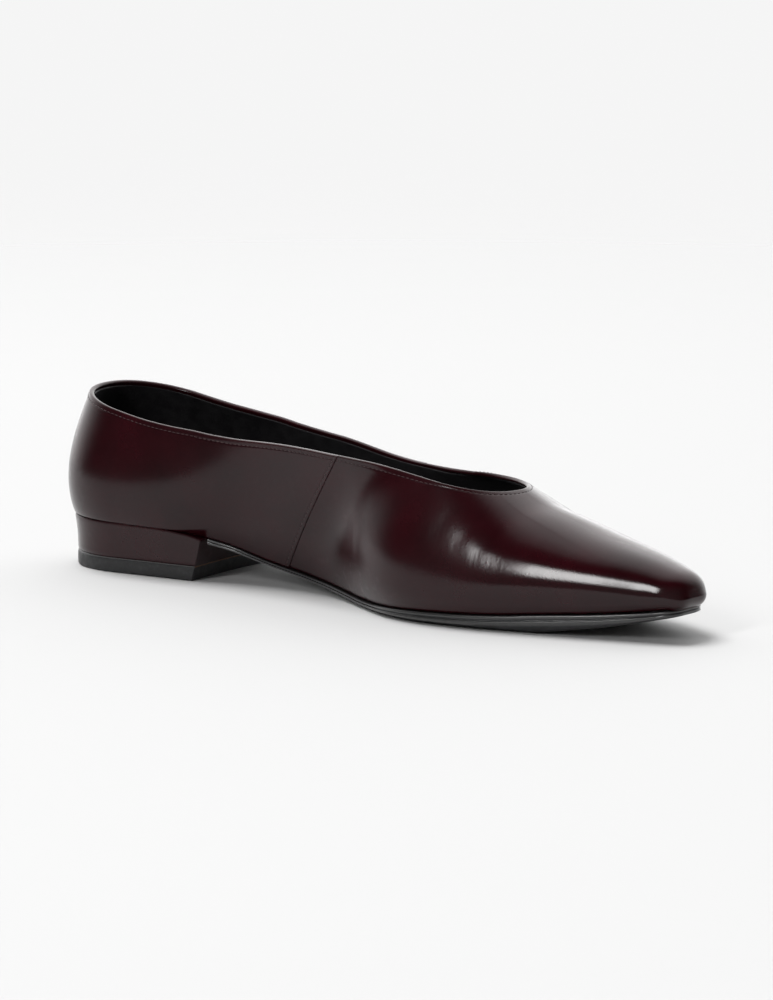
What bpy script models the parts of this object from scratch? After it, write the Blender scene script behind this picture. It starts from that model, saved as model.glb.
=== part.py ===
"""Pointed toe flat, left shoe. Metres, +Z up, toe towards +X, outer side of the foot towards +Y.

The shape is worked out in last coordinates: x = 0 at the back of the heel's top piece, y = 0 on the
heel's centre line, z = 0 on the floor. The finished pieces are then centred over the origin.
"""
import math
from collections import namedtuple

import bmesh
import bpy
import numpy as np

# Driving sizes
LENGTH = 0.262             # outsole and heel, back to toe
BALL_WIDTH = 0.075         # outsole across the ball
HEEL_WIDTH = 0.054         # top piece across the back of the heel
HEEL_HEIGHT = 0.014        # floor to the underside of the sole at the breast
TOE_SPRING = 0.009         # floor to the underside of the sole at the toe
SOLE_EDGE = 0.0051         # outsole's edge at its thickest, just in front of the ball
QUARTER_HEIGHT = 0.0437    # back of the collar above the heel seat
THROAT_HEIGHT = 0.0387     # throat above the sole, taken along the ridge of the vamp
TOP_PIECE = 0.0048         # rubber top piece under the heel block
WALL = 0.0018              # upper leather and lining together
INSOLE = 0.0018            # insole with its sock
GAP = 0.0003               # clearance between neighbouring pieces

# Shape of the last and of the edges
LEDGE = 0.0010             # outsole beyond the foot of the upper
BELLY_SWELL = 0.0026       # forepart wall beyond its own foot
BELLY_HEIGHT = 0.0080      # widest level of the forepart wall above the sole
COUNTER_SWELL = 0.0042     # fullness of the counter between foot and collar
COUNTER_SET = 0.0010       # foot of the counter behind the back of the top piece
COLLAR_SET = 0.0040        # back of the collar in front of the back of the top piece
SEAM_LAP = 0.0004          # quarter standing proud of the vamp at the side seams
SEAM_STEP = 0.0004         # length over which the lap falls away
RIM_ROUND = 0.0005         # crown of the folded collar edge
HEEL_FLARE = 0.0010        # heel seat beyond the top piece, all round
BREAST_LEAN = 0.28         # forward lean of the breast, per unit of height
BREAST_HOLLOW = 0.0010     # depth of the breast's hollow
EDGE_GROOVE = 0.0004       # depth of the groove round the outsole's edge
EDGE_TUCK = 0.0003         # tread inside the widest line of the outsole's edge
TOE_POWER = 5.0            # squareness of the snipped toe in plan
HEEL_POWER = 2.1           # roundness of the heel in plan
COLLAR_POWER = 2.2         # roundness of the collar's back in plan
NOSE_POWER = 3.6           # roundness of the toe's top in profile
VAMP_POWER = 2.2           # roundness of the vamp's cross sections
LIP_POWER = 2.0            # how closely the vamp's turn up to the collar keeps to the collar's edge

# Stations, as shares of the length
HEEL_ROUND = 0.115         # the heel's sides end and its round back begins
TOE_ROUND = 0.954          # the forepart's sides end and the snipped toe begins
NOSE_ROUND = 0.979         # the vamp's ridge begins to turn down
COLLAR_ROUND = 0.107       # the collar's sides end and its round back begins
THROAT = 0.734             # front of the collar

# Sides in plan, as shares of the ball width from the heel's centre line
HEEL_AXIS = -0.010
TOE_AXIS = -0.064
THROAT_AXIS = -0.066

# Fineness
HEEL_STEPS = 7
SIDE_STEPS = 24
TOE_STEPS = 8
FOOT_STEPS = 3
WALL_STEPS = 11
ACROSS_STEPS = 6
OUTLINE_SAMPLES = 240
SHARP_ANGLE = math.radians(38.0)

MEDIAL = "medial"
LATERAL = "lateral"
SIDES = (MEDIAL, LATERAL)

# Sole from the side: lifts are shares of the heel height and of the toe spring, edge of SOLE_EDGE
SoleRow = namedtuple("SoleRow", "x heel_lift toe_lift edge")
SOLE_ROWS = (
    SoleRow(0.000, 1.13, 0.00, 0.45),
    SoleRow(0.100, 1.11, 0.00, 0.45),
    SoleRow(0.170, 1.08, 0.00, 0.47),
    SoleRow(0.229, 0.99, 0.00, 0.49),
    SoleRow(0.275, 0.82, 0.00, 0.43),
    SoleRow(0.325, 0.59, 0.00, 0.36),
    SoleRow(0.375, 0.39, 0.00, 0.34),
    SoleRow(0.430, 0.21, 0.00, 0.37),
    SoleRow(0.485, 0.08, 0.00, 0.44),
    SoleRow(0.540, 0.01, 0.00, 0.53),
    SoleRow(0.575, 0.00, 0.00, 0.61),
    SoleRow(0.640, 0.00, 0.00, 0.78),
    SoleRow(0.705, 0.00, 0.00, 0.91),
    SoleRow(0.760, 0.00, 0.03, 0.98),
    SoleRow(0.820, 0.00, 0.16, 1.00),
    SoleRow(0.880, 0.00, 0.35, 0.90),
    SoleRow(0.940, 0.00, 0.63, 0.70),
    SoleRow(1.000, 0.00, 1.00, 0.45),
)

# Foot of the upper in plan, as shares of the ball width
FootRow = namedtuple("FootRow", "x medial lateral")
FOOT_ROWS = (
    FootRow(0.115, -0.373, 0.352),
    FootRow(0.180, -0.345, 0.362),
    FootRow(0.229, -0.297, 0.347),
    FootRow(0.280, -0.226, 0.340),
    FootRow(0.340, -0.196, 0.356),
    FootRow(0.400, -0.184, 0.392),
    FootRow(0.462, -0.227, 0.443),
    FootRow(0.535, -0.347, 0.488),
    FootRow(0.610, -0.463, 0.494),
    FootRow(0.687, -0.475, 0.443),
    FootRow(0.763, -0.422, 0.365),
    FootRow(0.840, -0.339, 0.283),
    FootRow(0.908, -0.262, 0.199),
    FootRow(0.954, -0.209, 0.125),
    FootRow(1.000, -0.163, 0.037),
)

# Collar: plan as shares of the ball width, rise above the sole as shares of the collar's own height,
# which runs from QUARTER_HEIGHT at the back to THROAT_HEIGHT at the throat
CollarRow = namedtuple("CollarRow", "x medial lateral medial_rise lateral_rise")
COLLAR_ROWS = (
    CollarRow(0.015, -0.305, 0.285, 1.000, 1.000),
    CollarRow(0.107, -0.317, 0.310, 0.905, 0.905),
    CollarRow(0.190, -0.323, 0.338, 0.857, 0.843),
    CollarRow(0.275, -0.312, 0.348, 0.914, 0.862),
    CollarRow(0.351, -0.310, 0.352, 1.044, 0.932),
    CollarRow(0.420, -0.323, 0.349, 1.137, 0.944),
    CollarRow(0.489, -0.347, 0.328, 1.181, 0.960),
    CollarRow(0.561, -0.368, 0.285, 1.183, 0.985),
    CollarRow(0.630, -0.360, 0.222, 1.120, 0.992),
    CollarRow(0.734, -0.330, 0.100, 1.000, 1.000),
)

# Fullness of the quarters between foot and collar, as shares of COUNTER_SWELL
SwellRow = namedtuple("SwellRow", "x medial lateral")
SWELL_ROWS = (
    SwellRow(0.000, 1.00, 1.00),
    SwellRow(0.115, 1.00, 1.00),
    SwellRow(0.190, 0.90, 0.92),
    SwellRow(0.275, 0.62, 0.72),
    SwellRow(0.351, 0.40, 0.62),
    SwellRow(0.420, 0.38, 0.75),
    SwellRow(0.489, 0.80, 1.05),
    SwellRow(0.561, 1.35, 1.30),
    SwellRow(1.000, 1.50, 1.40),
)

# Vamp: ridge above the sole as shares of THROAT_HEIGHT, belly as shares of BELLY_HEIGHT,
# and how far the ridge lies from the heel's centre line, as a share of the ball width
VampRow = namedtuple("VampRow", "x ridge belly axis")
VAMP_ROWS = (
    VampRow(0.480, 1.560, 1.20, -0.060),
    VampRow(0.561, 1.420, 1.15, -0.070),
    VampRow(0.630, 1.240, 1.10, -0.076),
    VampRow(0.700, 1.032, 1.02, -0.071),
    VampRow(0.734, 0.915, 1.00, -0.066),
    VampRow(0.762, 0.822, 1.00, -0.062),
    VampRow(0.790, 0.756, 1.00, -0.060),
    VampRow(0.850, 0.624, 0.95, -0.060),
    VampRow(0.910, 0.506, 0.80, -0.062),
    VampRow(0.955, 0.404, 0.58, -0.064),
    VampRow(1.010, 0.240, 0.40, -0.064),
)

# Front of the collar on each side: where the throat's curve begins, and its roundness
ThroatRow = namedtuple("ThroatRow", "start power")
THROAT_ROWS = {MEDIAL: ThroatRow(0.630, 2.3), LATERAL: ThroatRow(0.585, 1.75)}

# Lines of the upper from its foot to its collar. A place runs from 0 at the back centre to 1 where
# the side begins, 2 where it ends and 3 at the front centre, on the foot and on the collar.
LineRow = namedtuple("LineRow", "foot medial_top lateral_top")
LINE_ROWS = (
    LineRow(0.00, 0.00, 0.00),
    LineRow(1.00, 1.00, 1.00),
    LineRow(1.14, 1.31, 1.33),
    LineRow(1.31, 1.74, 1.80),
    LineRow(1.48, 1.88, 1.93),
    LineRow(1.64, 2.02, 2.08),
    LineRow(1.82, 2.34, 2.38),
    LineRow(2.00, 2.70, 2.72),
    LineRow(3.00, 3.00, 3.00),
)
SEAM_PLACE = 1.31          # foot of the side seams, on the same scale
VAMP_BLEND = (1.36, 1.70)  # places over which the quarter's wall turns into the vamp

# Outsole's edge from the tread up: height as a share of the edge, inset from its widest line
EdgeRow = namedtuple("EdgeRow", "height inset")
EDGE_ROWS = (
    EdgeRow(0.00, EDGE_TUCK),
    EdgeRow(0.15, 0.0),
    EdgeRow(0.50, 0.0),
    EdgeRow(0.56, EDGE_GROOVE),
    EdgeRow(0.64, EDGE_GROOVE),
    EdgeRow(0.70, 0.0),
    EdgeRow(1.00, 0.0),
)

# Heel block in plan at its top piece, as shares of the heel width
HeelRow = namedtuple("HeelRow", "x medial lateral")
HEEL_ROWS = (
    HeelRow(0.110, -0.511, 0.480),
    HeelRow(0.172, -0.472, 0.498),
    HeelRow(0.236, -0.436, 0.476),
    HeelRow(0.270, -0.420, 0.462),
)
BREAST_MEDIAL = 0.236      # breast's inner corner at the floor, share of the length
BREAST_LATERAL = 0.222     # breast's outer corner at the floor, share of the length

# Finishes: base colour, roughness, metallic
Finish = namedtuple("Finish", "colour roughness metallic")
FINISHES = {
    "burgundy_leather": Finish((0.060, 0.006, 0.011, 1.0), 0.16, 0.0),
    "black_sole": Finish((0.012, 0.012, 0.013, 1.0), 0.42, 0.0),
    "black_rubber": Finish((0.017, 0.017, 0.018, 1.0), 0.55, 0.0),
    "black_lining": Finish((0.010, 0.009, 0.010, 1.0), 0.60, 0.0),
}


def clear_scene():
    """Remove every object that the file opened with."""
    for item in list(bpy.data.objects):
        bpy.data.objects.remove(item, do_unlink=True)


def fair(stations, values, x):
    """Natural cubic spline through the stations, straight beyond them."""
    gaps = np.diff(stations)
    slopes = np.diff(values) / gaps
    count = len(values)
    system = np.eye(count)
    bends = np.zeros(count)
    for i in range(1, count - 1):
        system[i, i - 1 : i + 2] = gaps[i - 1], 2 * (gaps[i - 1] + gaps[i]), gaps[i]
        bends[i] = 6 * (slopes[i] - slopes[i - 1])
    bends = np.linalg.solve(system, bends)
    i = int(np.clip(np.searchsorted(stations, x) - 1, 0, count - 2))
    t = (x - stations[i]) / gaps[i]
    line = values[i] + slopes[i] * gaps[i] * t
    if t < 0.0:
        return line - gaps[i] ** 2 * t * (2 * bends[i] + bends[i + 1]) / 6
    if t > 1.0:
        return line + gaps[i] ** 2 * (t - 1) * (bends[i] + 2 * bends[i + 1]) / 6
    bow = bends[i] * ((1 - t) ** 3 - (1 - t)) + bends[i + 1] * (t**3 - t)
    return line + bow * gaps[i] ** 2 / 6


def monotone(stations, values, x):
    """Cubic through the stations that never overshoots them."""
    gaps = np.diff(stations)
    slopes = np.diff(values) / gaps
    tangents = np.empty(len(values))
    tangents[0] = slopes[0]
    tangents[-1] = slopes[-1]
    for i in range(1, len(values) - 1):
        before, after = slopes[i - 1], slopes[i]
        tangents[i] = 0.0 if before * after <= 0.0 else 2.0 * before * after / (before + after)
    i = int(np.clip(np.searchsorted(stations, x) - 1, 0, len(gaps) - 1))
    t = (x - stations[i]) / gaps[i]
    if t <= 0.0:
        return values[i] + tangents[i] * gaps[i] * t
    if t >= 1.0:
        return values[i + 1] + tangents[i + 1] * gaps[i] * (t - 1.0)
    return (
        (2 * t**3 - 3 * t**2 + 1) * values[i]
        + (t**3 - 2 * t**2 + t) * gaps[i] * tangents[i]
        + (3 * t**2 - 2 * t**3) * values[i + 1]
        + (t**3 - t**2) * gaps[i] * tangents[i + 1]
    )


def column(rows, name, x, curve=fair):
    """Value of a table's column at x, a length in metres along the last."""
    stations = np.array([row.x for row in rows])
    values = np.array([getattr(row, name) for row in rows])
    return curve(stations, values, x / LENGTH)


def tread_z(x):
    """Underside of the sole above the floor."""
    lift = column(SOLE_ROWS, "heel_lift", x, monotone) * HEEL_HEIGHT
    return lift + column(SOLE_ROWS, "toe_lift", x, monotone) * TOE_SPRING


def edge_height(x):
    """Height of the outsole's edge."""
    return column(SOLE_ROWS, "edge", x) * SOLE_EDGE


def seat_z(x):
    """Top of the outsole and of the heel block, on which the upper and the insole stand."""
    return tread_z(x) + edge_height(x)


def power_arc(turn, power):
    """Unit superellipse: how far forward and how far out, for a turn from 0 to 1."""
    angle = turn * math.pi / 2
    return math.sin(angle) ** (2 / power), abs(math.cos(angle)) ** (2 / power)


def foot_edge(side, x):
    """Foot of the upper from the centre line, before the toe and heel are rounded."""
    return column(FOOT_ROWS, side, x) * BALL_WIDTH


def foot_plan(side, place):
    """Foot of the upper in plan at a place from 0 (back) to 3 (front)."""
    back = HEEL_ROUND * LENGTH
    front = TOE_ROUND * LENGTH
    if place <= 1.0:
        ahead, out = power_arc(1.0 - place, HEEL_POWER)
        axis = HEEL_AXIS * BALL_WIDTH
        x = back - (back + COUNTER_SET) * ahead
        return x, axis + (foot_edge(side, x) - axis) * out
    if place <= 2.0:
        x = back + (front - back) * (place - 1.0)
        return x, foot_edge(side, x)
    ahead, out = power_arc(place - 2.0, TOE_POWER)
    axis = TOE_AXIS * BALL_WIDTH
    x = front + (LENGTH - LEDGE - front) * ahead
    return x, axis + (foot_edge(side, x) - axis) * out


def collar_height(x, side):
    """Height of the collar above the floor."""
    back = COLLAR_SET
    share = (x - back) / (THROAT * LENGTH - back)
    base = QUARTER_HEIGHT + (THROAT_HEIGHT - QUARTER_HEIGHT) * share
    return seat_z(x) + column(COLLAR_ROWS, side + "_rise", x) * base


def collar_point(side, place):
    """Collar edge at a place from 0 (back) to 3 (throat)."""
    back = COLLAR_ROUND * LENGTH
    front = THROAT_ROWS[side].start * LENGTH
    if place <= 1.0:
        ahead, out = power_arc(1.0 - place, COLLAR_POWER)
        axis = HEEL_AXIS * BALL_WIDTH
        x = back - (back - COLLAR_SET) * ahead
        y = axis + (column(COLLAR_ROWS, side, x) * BALL_WIDTH - axis) * out
    elif place <= 2.0:
        x = back + (front - back) * (place - 1.0)
        y = column(COLLAR_ROWS, side, x) * BALL_WIDTH
    else:
        ahead, out = power_arc(place - 2.0, THROAT_ROWS[side].power)
        axis = THROAT_AXIS * BALL_WIDTH
        x = front + (THROAT * LENGTH - front) * ahead
        y = axis + (column(COLLAR_ROWS, side, front) * BALL_WIDTH - axis) * out
    return np.array([x, y, collar_height(x, side)])


def outward(points, closed=True):
    """Unit normals in plan of an outline that runs forward medially and back laterally."""
    ahead = np.gradient(points, axis=0)
    if closed:
        ahead = np.roll(points, -1, axis=0) - np.roll(points, 1, axis=0)
    normal = np.stack([ahead[:, 1], -ahead[:, 0]], axis=1)
    return normal / np.linalg.norm(normal, axis=1)[:, None]


def loop_places(steps_heel, steps_side, steps_toe, extra=()):
    """Places from the back centre to the front centre, both included."""
    heel = np.linspace(0.0, 1.0, steps_heel + 1)[:-1]
    side = np.linspace(1.0, 2.0, steps_side + 1)[:-1]
    toe = np.linspace(2.0, 3.0, steps_toe + 1)
    return sorted(set(np.concatenate([heel, side, toe, np.array(extra)]).tolist()))


def closed_loop(medial, lateral):
    """Join two runs from back to front into one ring: forward medially, back laterally."""
    return np.concatenate([medial, lateral[-2:0:-1]])


def spread_runs(medial, lateral, distance):
    """Move two runs that meet at both ends outwards in plan."""
    count = len(medial)
    ring = closed_loop(medial, lateral)
    ring = ring + outward(ring) * distance
    return ring[:count], np.concatenate([ring[:1], ring[: count - 2 : -1]])


def spread_to_breast(medial, lateral, distance):
    """Move two runs outwards that meet at the toe or the heel, and at their other end lie on the breast.

    Their ends on the breast keep their place along the shoe.
    """
    count = len(medial)
    meet_in_front = np.allclose(medial[-1], lateral[-1])
    if meet_in_front:
        path = np.concatenate([medial, lateral[-2::-1]])
    else:
        path = np.concatenate([lateral[::-1], medial[1:]])
    moved = path + outward(path, closed=False) * distance
    moved[0, 0] = path[0, 0]
    moved[-1, 0] = path[-1, 0]
    if meet_in_front:
        return moved[:count], moved[: count - 2 : -1]
    return moved[count - 1 :], moved[count - 1 :: -1]


class Vamp:
    """The last's top surface over the forepart, from cross sections between belly and ridge."""

    def __init__(self):
        places = np.linspace(0.0, 3.0, OUTLINE_SAMPLES)
        runs = [np.array([foot_plan(side, place) for place in places]) for side in SIDES]
        self.runs = {}
        for side, run in zip(SIDES, spread_runs(*runs, BELLY_SWELL)):
            self.runs[side] = run[np.argsort(run[:, 0])]
        self.front = self.runs[MEDIAL][-1, 0]

    def belly_z(self, x):
        """Level at which the forepart's wall is widest."""
        return seat_z(x) + GAP + column(VAMP_ROWS, "belly", x) * BELLY_HEIGHT

    def height(self, x, y):
        """Height of the last above the floor at a point inside the belly's outline."""
        axis = column(VAMP_ROWS, "axis", x) * BALL_WIDTH
        run = self.runs[MEDIAL if y < axis else LATERAL]
        edge = np.interp(x, run[:, 0], run[:, 1])
        across = min(abs((y - axis) / (edge - axis)), 1.0)
        belly = self.belly_z(x)
        rise = seat_z(x) + GAP + column(VAMP_ROWS, "ridge", x) * THROAT_HEIGHT - belly
        nose = NOSE_ROUND * LENGTH
        if x > nose:
            ahead = min((x - nose) / (self.front - nose), 1.0)
            rise *= (1.0 - ahead**NOSE_POWER) ** (1 / NOSE_POWER)
        return belly + rise * (1.0 - across**VAMP_POWER) ** (1 / VAMP_POWER)


def quarter_line(foot, top, normal, swell, levels):
    """Wall of a quarter or the counter: a full curve from foot to collar."""
    points = []
    for level in levels:
        point = foot + (top - foot) * level
        point[:2] += normal * swell * math.sin(math.pi * level**0.8)
        points.append(point)
    return np.array(points)


def vamp_line(vamp, foot, top, normal, levels, foot_share):
    """Line of the vamp: out to the belly, then over the last to the throat."""
    belly = foot[:2] + normal * BELLY_SWELL
    meet = top[2] - vamp.height(top[0], top[1])
    points = []
    for level in levels:
        if level <= foot_share:
            up = level / foot_share
            plan = foot[:2] + (belly - foot[:2]) * math.sin(up * math.pi / 2)
            z = foot[2] + (vamp.belly_z(plan[0]) - foot[2]) * up
        else:
            up = ((level - foot_share) / (1.0 - foot_share)) ** VAMP_POWER
            plan = belly + (top[:2] - belly) * up
            z = vamp.height(plan[0], plan[1]) + meet * up**LIP_POWER
        points.append((plan[0], plan[1], z))
    return np.array(points)


def smoothstep(low, high, value):
    """0 below low, 1 above high, smooth between."""
    t = min(max((value - low) / (high - low), 0.0), 1.0)
    return t * t * (3.0 - 2.0 * t)


def upper_surface():
    """Outer surface of the last as a ring of lines, and which of them belong to the quarters."""
    vamp = Vamp()
    side_length = (TOE_ROUND - HEEL_ROUND) * LENGTH
    seam_end = SEAM_PLACE + SEAM_STEP / side_length
    places = loop_places(HEEL_STEPS, SIDE_STEPS, TOE_STEPS, (SEAM_PLACE, seam_end))
    foot_share = FOOT_STEPS / (FOOT_STEPS + WALL_STEPS)
    levels = np.linspace(0.0, 1.0, FOOT_STEPS + WALL_STEPS + 1)
    feet = {}
    tops = {}
    for side in SIDES:
        feet[side] = np.array([foot_plan(side, place) for place in places])
        stations = np.array([row.foot for row in LINE_ROWS])
        values = np.array([getattr(row, side + "_top") for row in LINE_ROWS])
        tops[side] = np.array([collar_point(side, monotone(stations, values, p)) for p in places])
    foot_ring = closed_loop(feet[MEDIAL], feet[LATERAL])
    top_ring = closed_loop(tops[MEDIAL], tops[LATERAL])
    normals = outward((foot_ring + top_ring[:, :2]) / 2)
    foot_normals = outward(foot_ring)
    ring_places = np.concatenate([places, places[-2:0:-1]])
    ring_sides = [MEDIAL] * len(places) + [LATERAL] * (len(places) - 2)
    lines = []
    for i, place in enumerate(ring_places):
        x, y = foot_ring[i]
        foot = np.array([x, y, seat_z(x) + GAP])
        swell = column(SWELL_ROWS, ring_sides[i], max(x, 0.0)) * COUNTER_SWELL
        share = smoothstep(*VAMP_BLEND, place)
        line = quarter_line(foot, top_ring[i], normals[i], swell, levels)
        if share > 0.0:
            over = vamp_line(vamp, foot, top_ring[i], foot_normals[i], levels, foot_share)
            line = line + (over - line) * share
        lines.append(line)
    is_quarter = ring_places <= SEAM_PLACE
    return np.array(lines), is_quarter


def surface_normals(grid):
    """Unit normals of a grid of points that closes on itself in its first direction."""
    around = np.roll(grid, -1, axis=0) - np.roll(grid, 1, axis=0)
    up = np.gradient(grid, axis=1)
    normal = np.cross(around, up)
    return normal / np.linalg.norm(normal, axis=2)[:, :, None]


def finish_object(name, points, faces, finish_name):
    """One closed body with its normals outwards and its own material."""
    mesh = bpy.data.meshes.new(name)
    work = bmesh.new()
    vertices = [work.verts.new(point) for point in points]
    for face in faces:
        corners = list(dict.fromkeys(face))
        if len(corners) > 2:
            work.faces.new([vertices[k] for k in corners])
    bmesh.ops.remove_doubles(work, verts=work.verts, dist=1e-6)
    bmesh.ops.recalc_face_normals(work, faces=work.faces)
    work.to_mesh(mesh)
    work.free()
    mesh.shade_smooth()
    mesh.set_sharp_from_angle(angle=SHARP_ANGLE)
    finish = FINISHES[finish_name]
    material = bpy.data.materials.new(name + "_" + finish_name)
    material.use_nodes = True
    shader = material.node_tree.nodes["Principled BSDF"]
    shader.inputs["Base Color"].default_value = finish.colour
    shader.inputs["Roughness"].default_value = finish.roughness
    shader.inputs["Metallic"].default_value = finish.metallic
    mesh.materials.append(material)
    item = bpy.data.objects.new(name, mesh)
    bpy.context.collection.objects.link(item)
    return item


def make_upper():
    """The hollow upper: one wall, open at the collar and underneath."""
    last, is_quarter = upper_surface()
    normals = surface_normals(last)
    lap = np.where(is_quarter, SEAM_LAP, 0.0)[:, None, None]
    outer = last + normals * lap
    inner = last - normals * WALL
    outer[:, 0, 2] = last[:, 0, 2]
    inner[:, 0, 2] = last[:, 0, 2]
    upwards = outer[:, -1] - outer[:, -2]
    upwards /= np.linalg.norm(upwards, axis=1)[:, None]
    rim = (outer[:, -1] + inner[:, -1]) / 2 + upwards * RIM_ROUND
    rings = [outer[:, j] for j in range(outer.shape[1])]
    rings.append(rim)
    rings += [inner[:, j] for j in range(inner.shape[1] - 1, -1, -1)]
    around = len(last)
    points = np.concatenate(rings)
    faces = []
    for j in range(len(rings)):
        above = (j + 1) % len(rings)
        for i in range(around):
            ahead = (i + 1) % around
            faces.append((j * around + i, j * around + ahead, above * around + ahead, above * around + i))
    return finish_object("upper", points, faces, "burgundy_leather")


def make_slab(name, levels, finish_name, breast_row=None):
    """A solid between flat-lying rings, each a medial and a lateral run of points from back to front.

    Every level holds the same number of points, lowest first. breast_row numbers the row that
    follows the hollow of the breast.
    """
    points = []
    grids = []
    for medial, lateral, height in levels:
        grid = []
        for i, (inner, outer) in enumerate(zip(medial, lateral)):
            row = []
            for c in range(ACROSS_STEPS + 1):
                share = c / ACROSS_STEPS
                x, y = inner + (outer - inner) * share
                if i == breast_row:
                    x -= BREAST_HOLLOW * math.sin(math.pi * share)
                row.append(len(points))
                points.append((x, y, height(x)))
            grid.append(row)
        grids.append(grid)
    faces = []
    rows = len(grids[0])
    for grid in (grids[0], grids[-1]):
        for i in range(rows - 1):
            for c in range(ACROSS_STEPS):
                faces.append((grid[i][c], grid[i + 1][c], grid[i + 1][c + 1], grid[i][c + 1]))
    for low, high in zip(grids[:-1], grids[1:]):
        low_ring = slab_ring(low)
        high_ring = slab_ring(high)
        for k in range(len(low_ring)):
            ahead = (k + 1) % len(low_ring)
            faces.append((low_ring[k], low_ring[ahead], high_ring[ahead], high_ring[k]))
    return slab_object(name, points, faces, finish_name)


def slab_ring(grid):
    """Border of a slab's grid, once round."""
    medial = [row[0] for row in grid]
    lateral = [row[-1] for row in grid]
    return medial + grid[-1][1:-1] + lateral[::-1] + grid[0][-2:0:-1]


def slab_object(name, points, faces, finish_name):
    """Merge the points that meet at a slab's ends before its faces are made."""
    index = {}
    unique = []
    merged = []
    for point in points:
        key = tuple(round(value * 1e7) for value in point)
        if key not in index:
            index[key] = len(unique)
            unique.append(point)
        merged.append(index[key])
    clean = []
    for face in faces:
        corners = tuple(dict.fromkeys(merged[k] for k in face))
        if len(corners) > 2:
            clean.append(corners)
    return finish_object(name, unique, clean, finish_name)


def breast_x(side, z):
    """Corner of the heel's breast at a height."""
    share = BREAST_MEDIAL if side == MEDIAL else BREAST_LATERAL
    return share * LENGTH + BREAST_LEAN * z


def make_outsole():
    """Outsole from the breast to the toe, with its tread, groove and edge."""
    ends = {side: breast_x(side, seat_z(BREAST_MEDIAL * LENGTH)) + GAP for side in SIDES}
    back = HEEL_ROUND * LENGTH
    front = TOE_ROUND * LENGTH
    runs = {}
    for side in SIDES:
        start = 1.0 + (ends[side] - back) / (front - back)
        places = np.concatenate([
            np.linspace(start, 2.0, SIDE_STEPS + 1)[:-1],
            np.linspace(2.0, 3.0, TOE_STEPS + 1),
        ])
        runs[side] = np.array([foot_plan(side, place) for place in places])
    levels = []
    for row in EDGE_ROWS:
        medial, lateral = spread_to_breast(runs[MEDIAL], runs[LATERAL], LEDGE - row.inset)
        levels.append((medial, lateral, lambda x, share=row.height: tread_z(x) + edge_height(x) * share))
    return make_slab("outsole", levels, "black_sole", breast_row=0)


def heel_runs(z, flare):
    """Heel outline at a height, from its back centre to its breast."""
    back = HEEL_ROUND * LENGTH
    axis = HEEL_AXIS * HEEL_WIDTH
    runs = []
    for side in SIDES:
        run = []
        for place in np.linspace(0.0, 1.0, HEEL_STEPS + 1)[:-1]:
            ahead, out = power_arc(1.0 - place, HEEL_POWER)
            x = back * (1.0 - ahead)
            run.append((x, axis + (column(HEEL_ROWS, side, x) * HEEL_WIDTH - axis) * out))
        for x in np.linspace(back, breast_x(side, z), ACROSS_STEPS + 1):
            run.append((x, column(HEEL_ROWS, side, x) * HEEL_WIDTH))
        runs.append(np.array(run))
    return spread_to_breast(*runs, flare)


def make_heel():
    """Covered heel block between the top piece and the heel seat."""
    low = TOP_PIECE + GAP
    top = seat_z(BREAST_MEDIAL * LENGTH)
    levels = [
        (*heel_runs(low, 0.0), lambda x: low),
        (*heel_runs(top, HEEL_FLARE), seat_z),
    ]
    return make_slab("heel", levels, "burgundy_leather", breast_row=HEEL_STEPS + ACROSS_STEPS)


def make_top_piece():
    """Rubber top piece, flat on the floor."""
    levels = [
        (*heel_runs(0.0, 0.0), lambda x: 0.0),
        (*heel_runs(TOP_PIECE, 0.0), lambda x: TOP_PIECE),
    ]
    return make_slab("top_piece", levels, "black_rubber", breast_row=HEEL_STEPS + ACROSS_STEPS)


def make_insole():
    """Insole inside the foot of the upper, on the outsole and the heel seat."""
    places = loop_places(HEEL_STEPS, SIDE_STEPS, TOE_STEPS)
    runs = [np.array([foot_plan(side, place) for place in places]) for side in SIDES]
    medial, lateral = spread_runs(*runs, -WALL - GAP)
    levels = [
        (medial, lateral, lambda x: seat_z(x) + GAP),
        (medial, lateral, lambda x: seat_z(x) + GAP + INSOLE),
    ]
    return make_slab("insole", levels, "black_lining")


def centre_over_origin(items):
    """Stand the shoe on z = 0 with the middle of its outline over the origin."""
    corners = np.array([vertex.co for item in items for vertex in item.data.vertices])
    low = corners.min(axis=0)
    high = corners.max(axis=0)
    shift = ((low[0] + high[0]) / 2, (low[1] + high[1]) / 2, low[2])
    for item in items:
        item.location = (-shift[0], -shift[1], -shift[2])


def main():
    """Build the five pieces and centre them."""
    clear_scene()
    items = [make_upper(), make_outsole(), make_heel(), make_top_piece(), make_insole()]
    centre_over_origin(items)


main()
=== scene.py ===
"""Looks of a pointed toe flat, left shoe: leather, lining, stitches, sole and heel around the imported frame.

Metres throughout. Shapes are worked out in last coordinates: x = 0 at the back of the heel's top piece,
y = 0 on the heel's centre line, z = 0 on the floor, toe towards +X, outer side of the foot towards +Y.
"""

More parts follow.
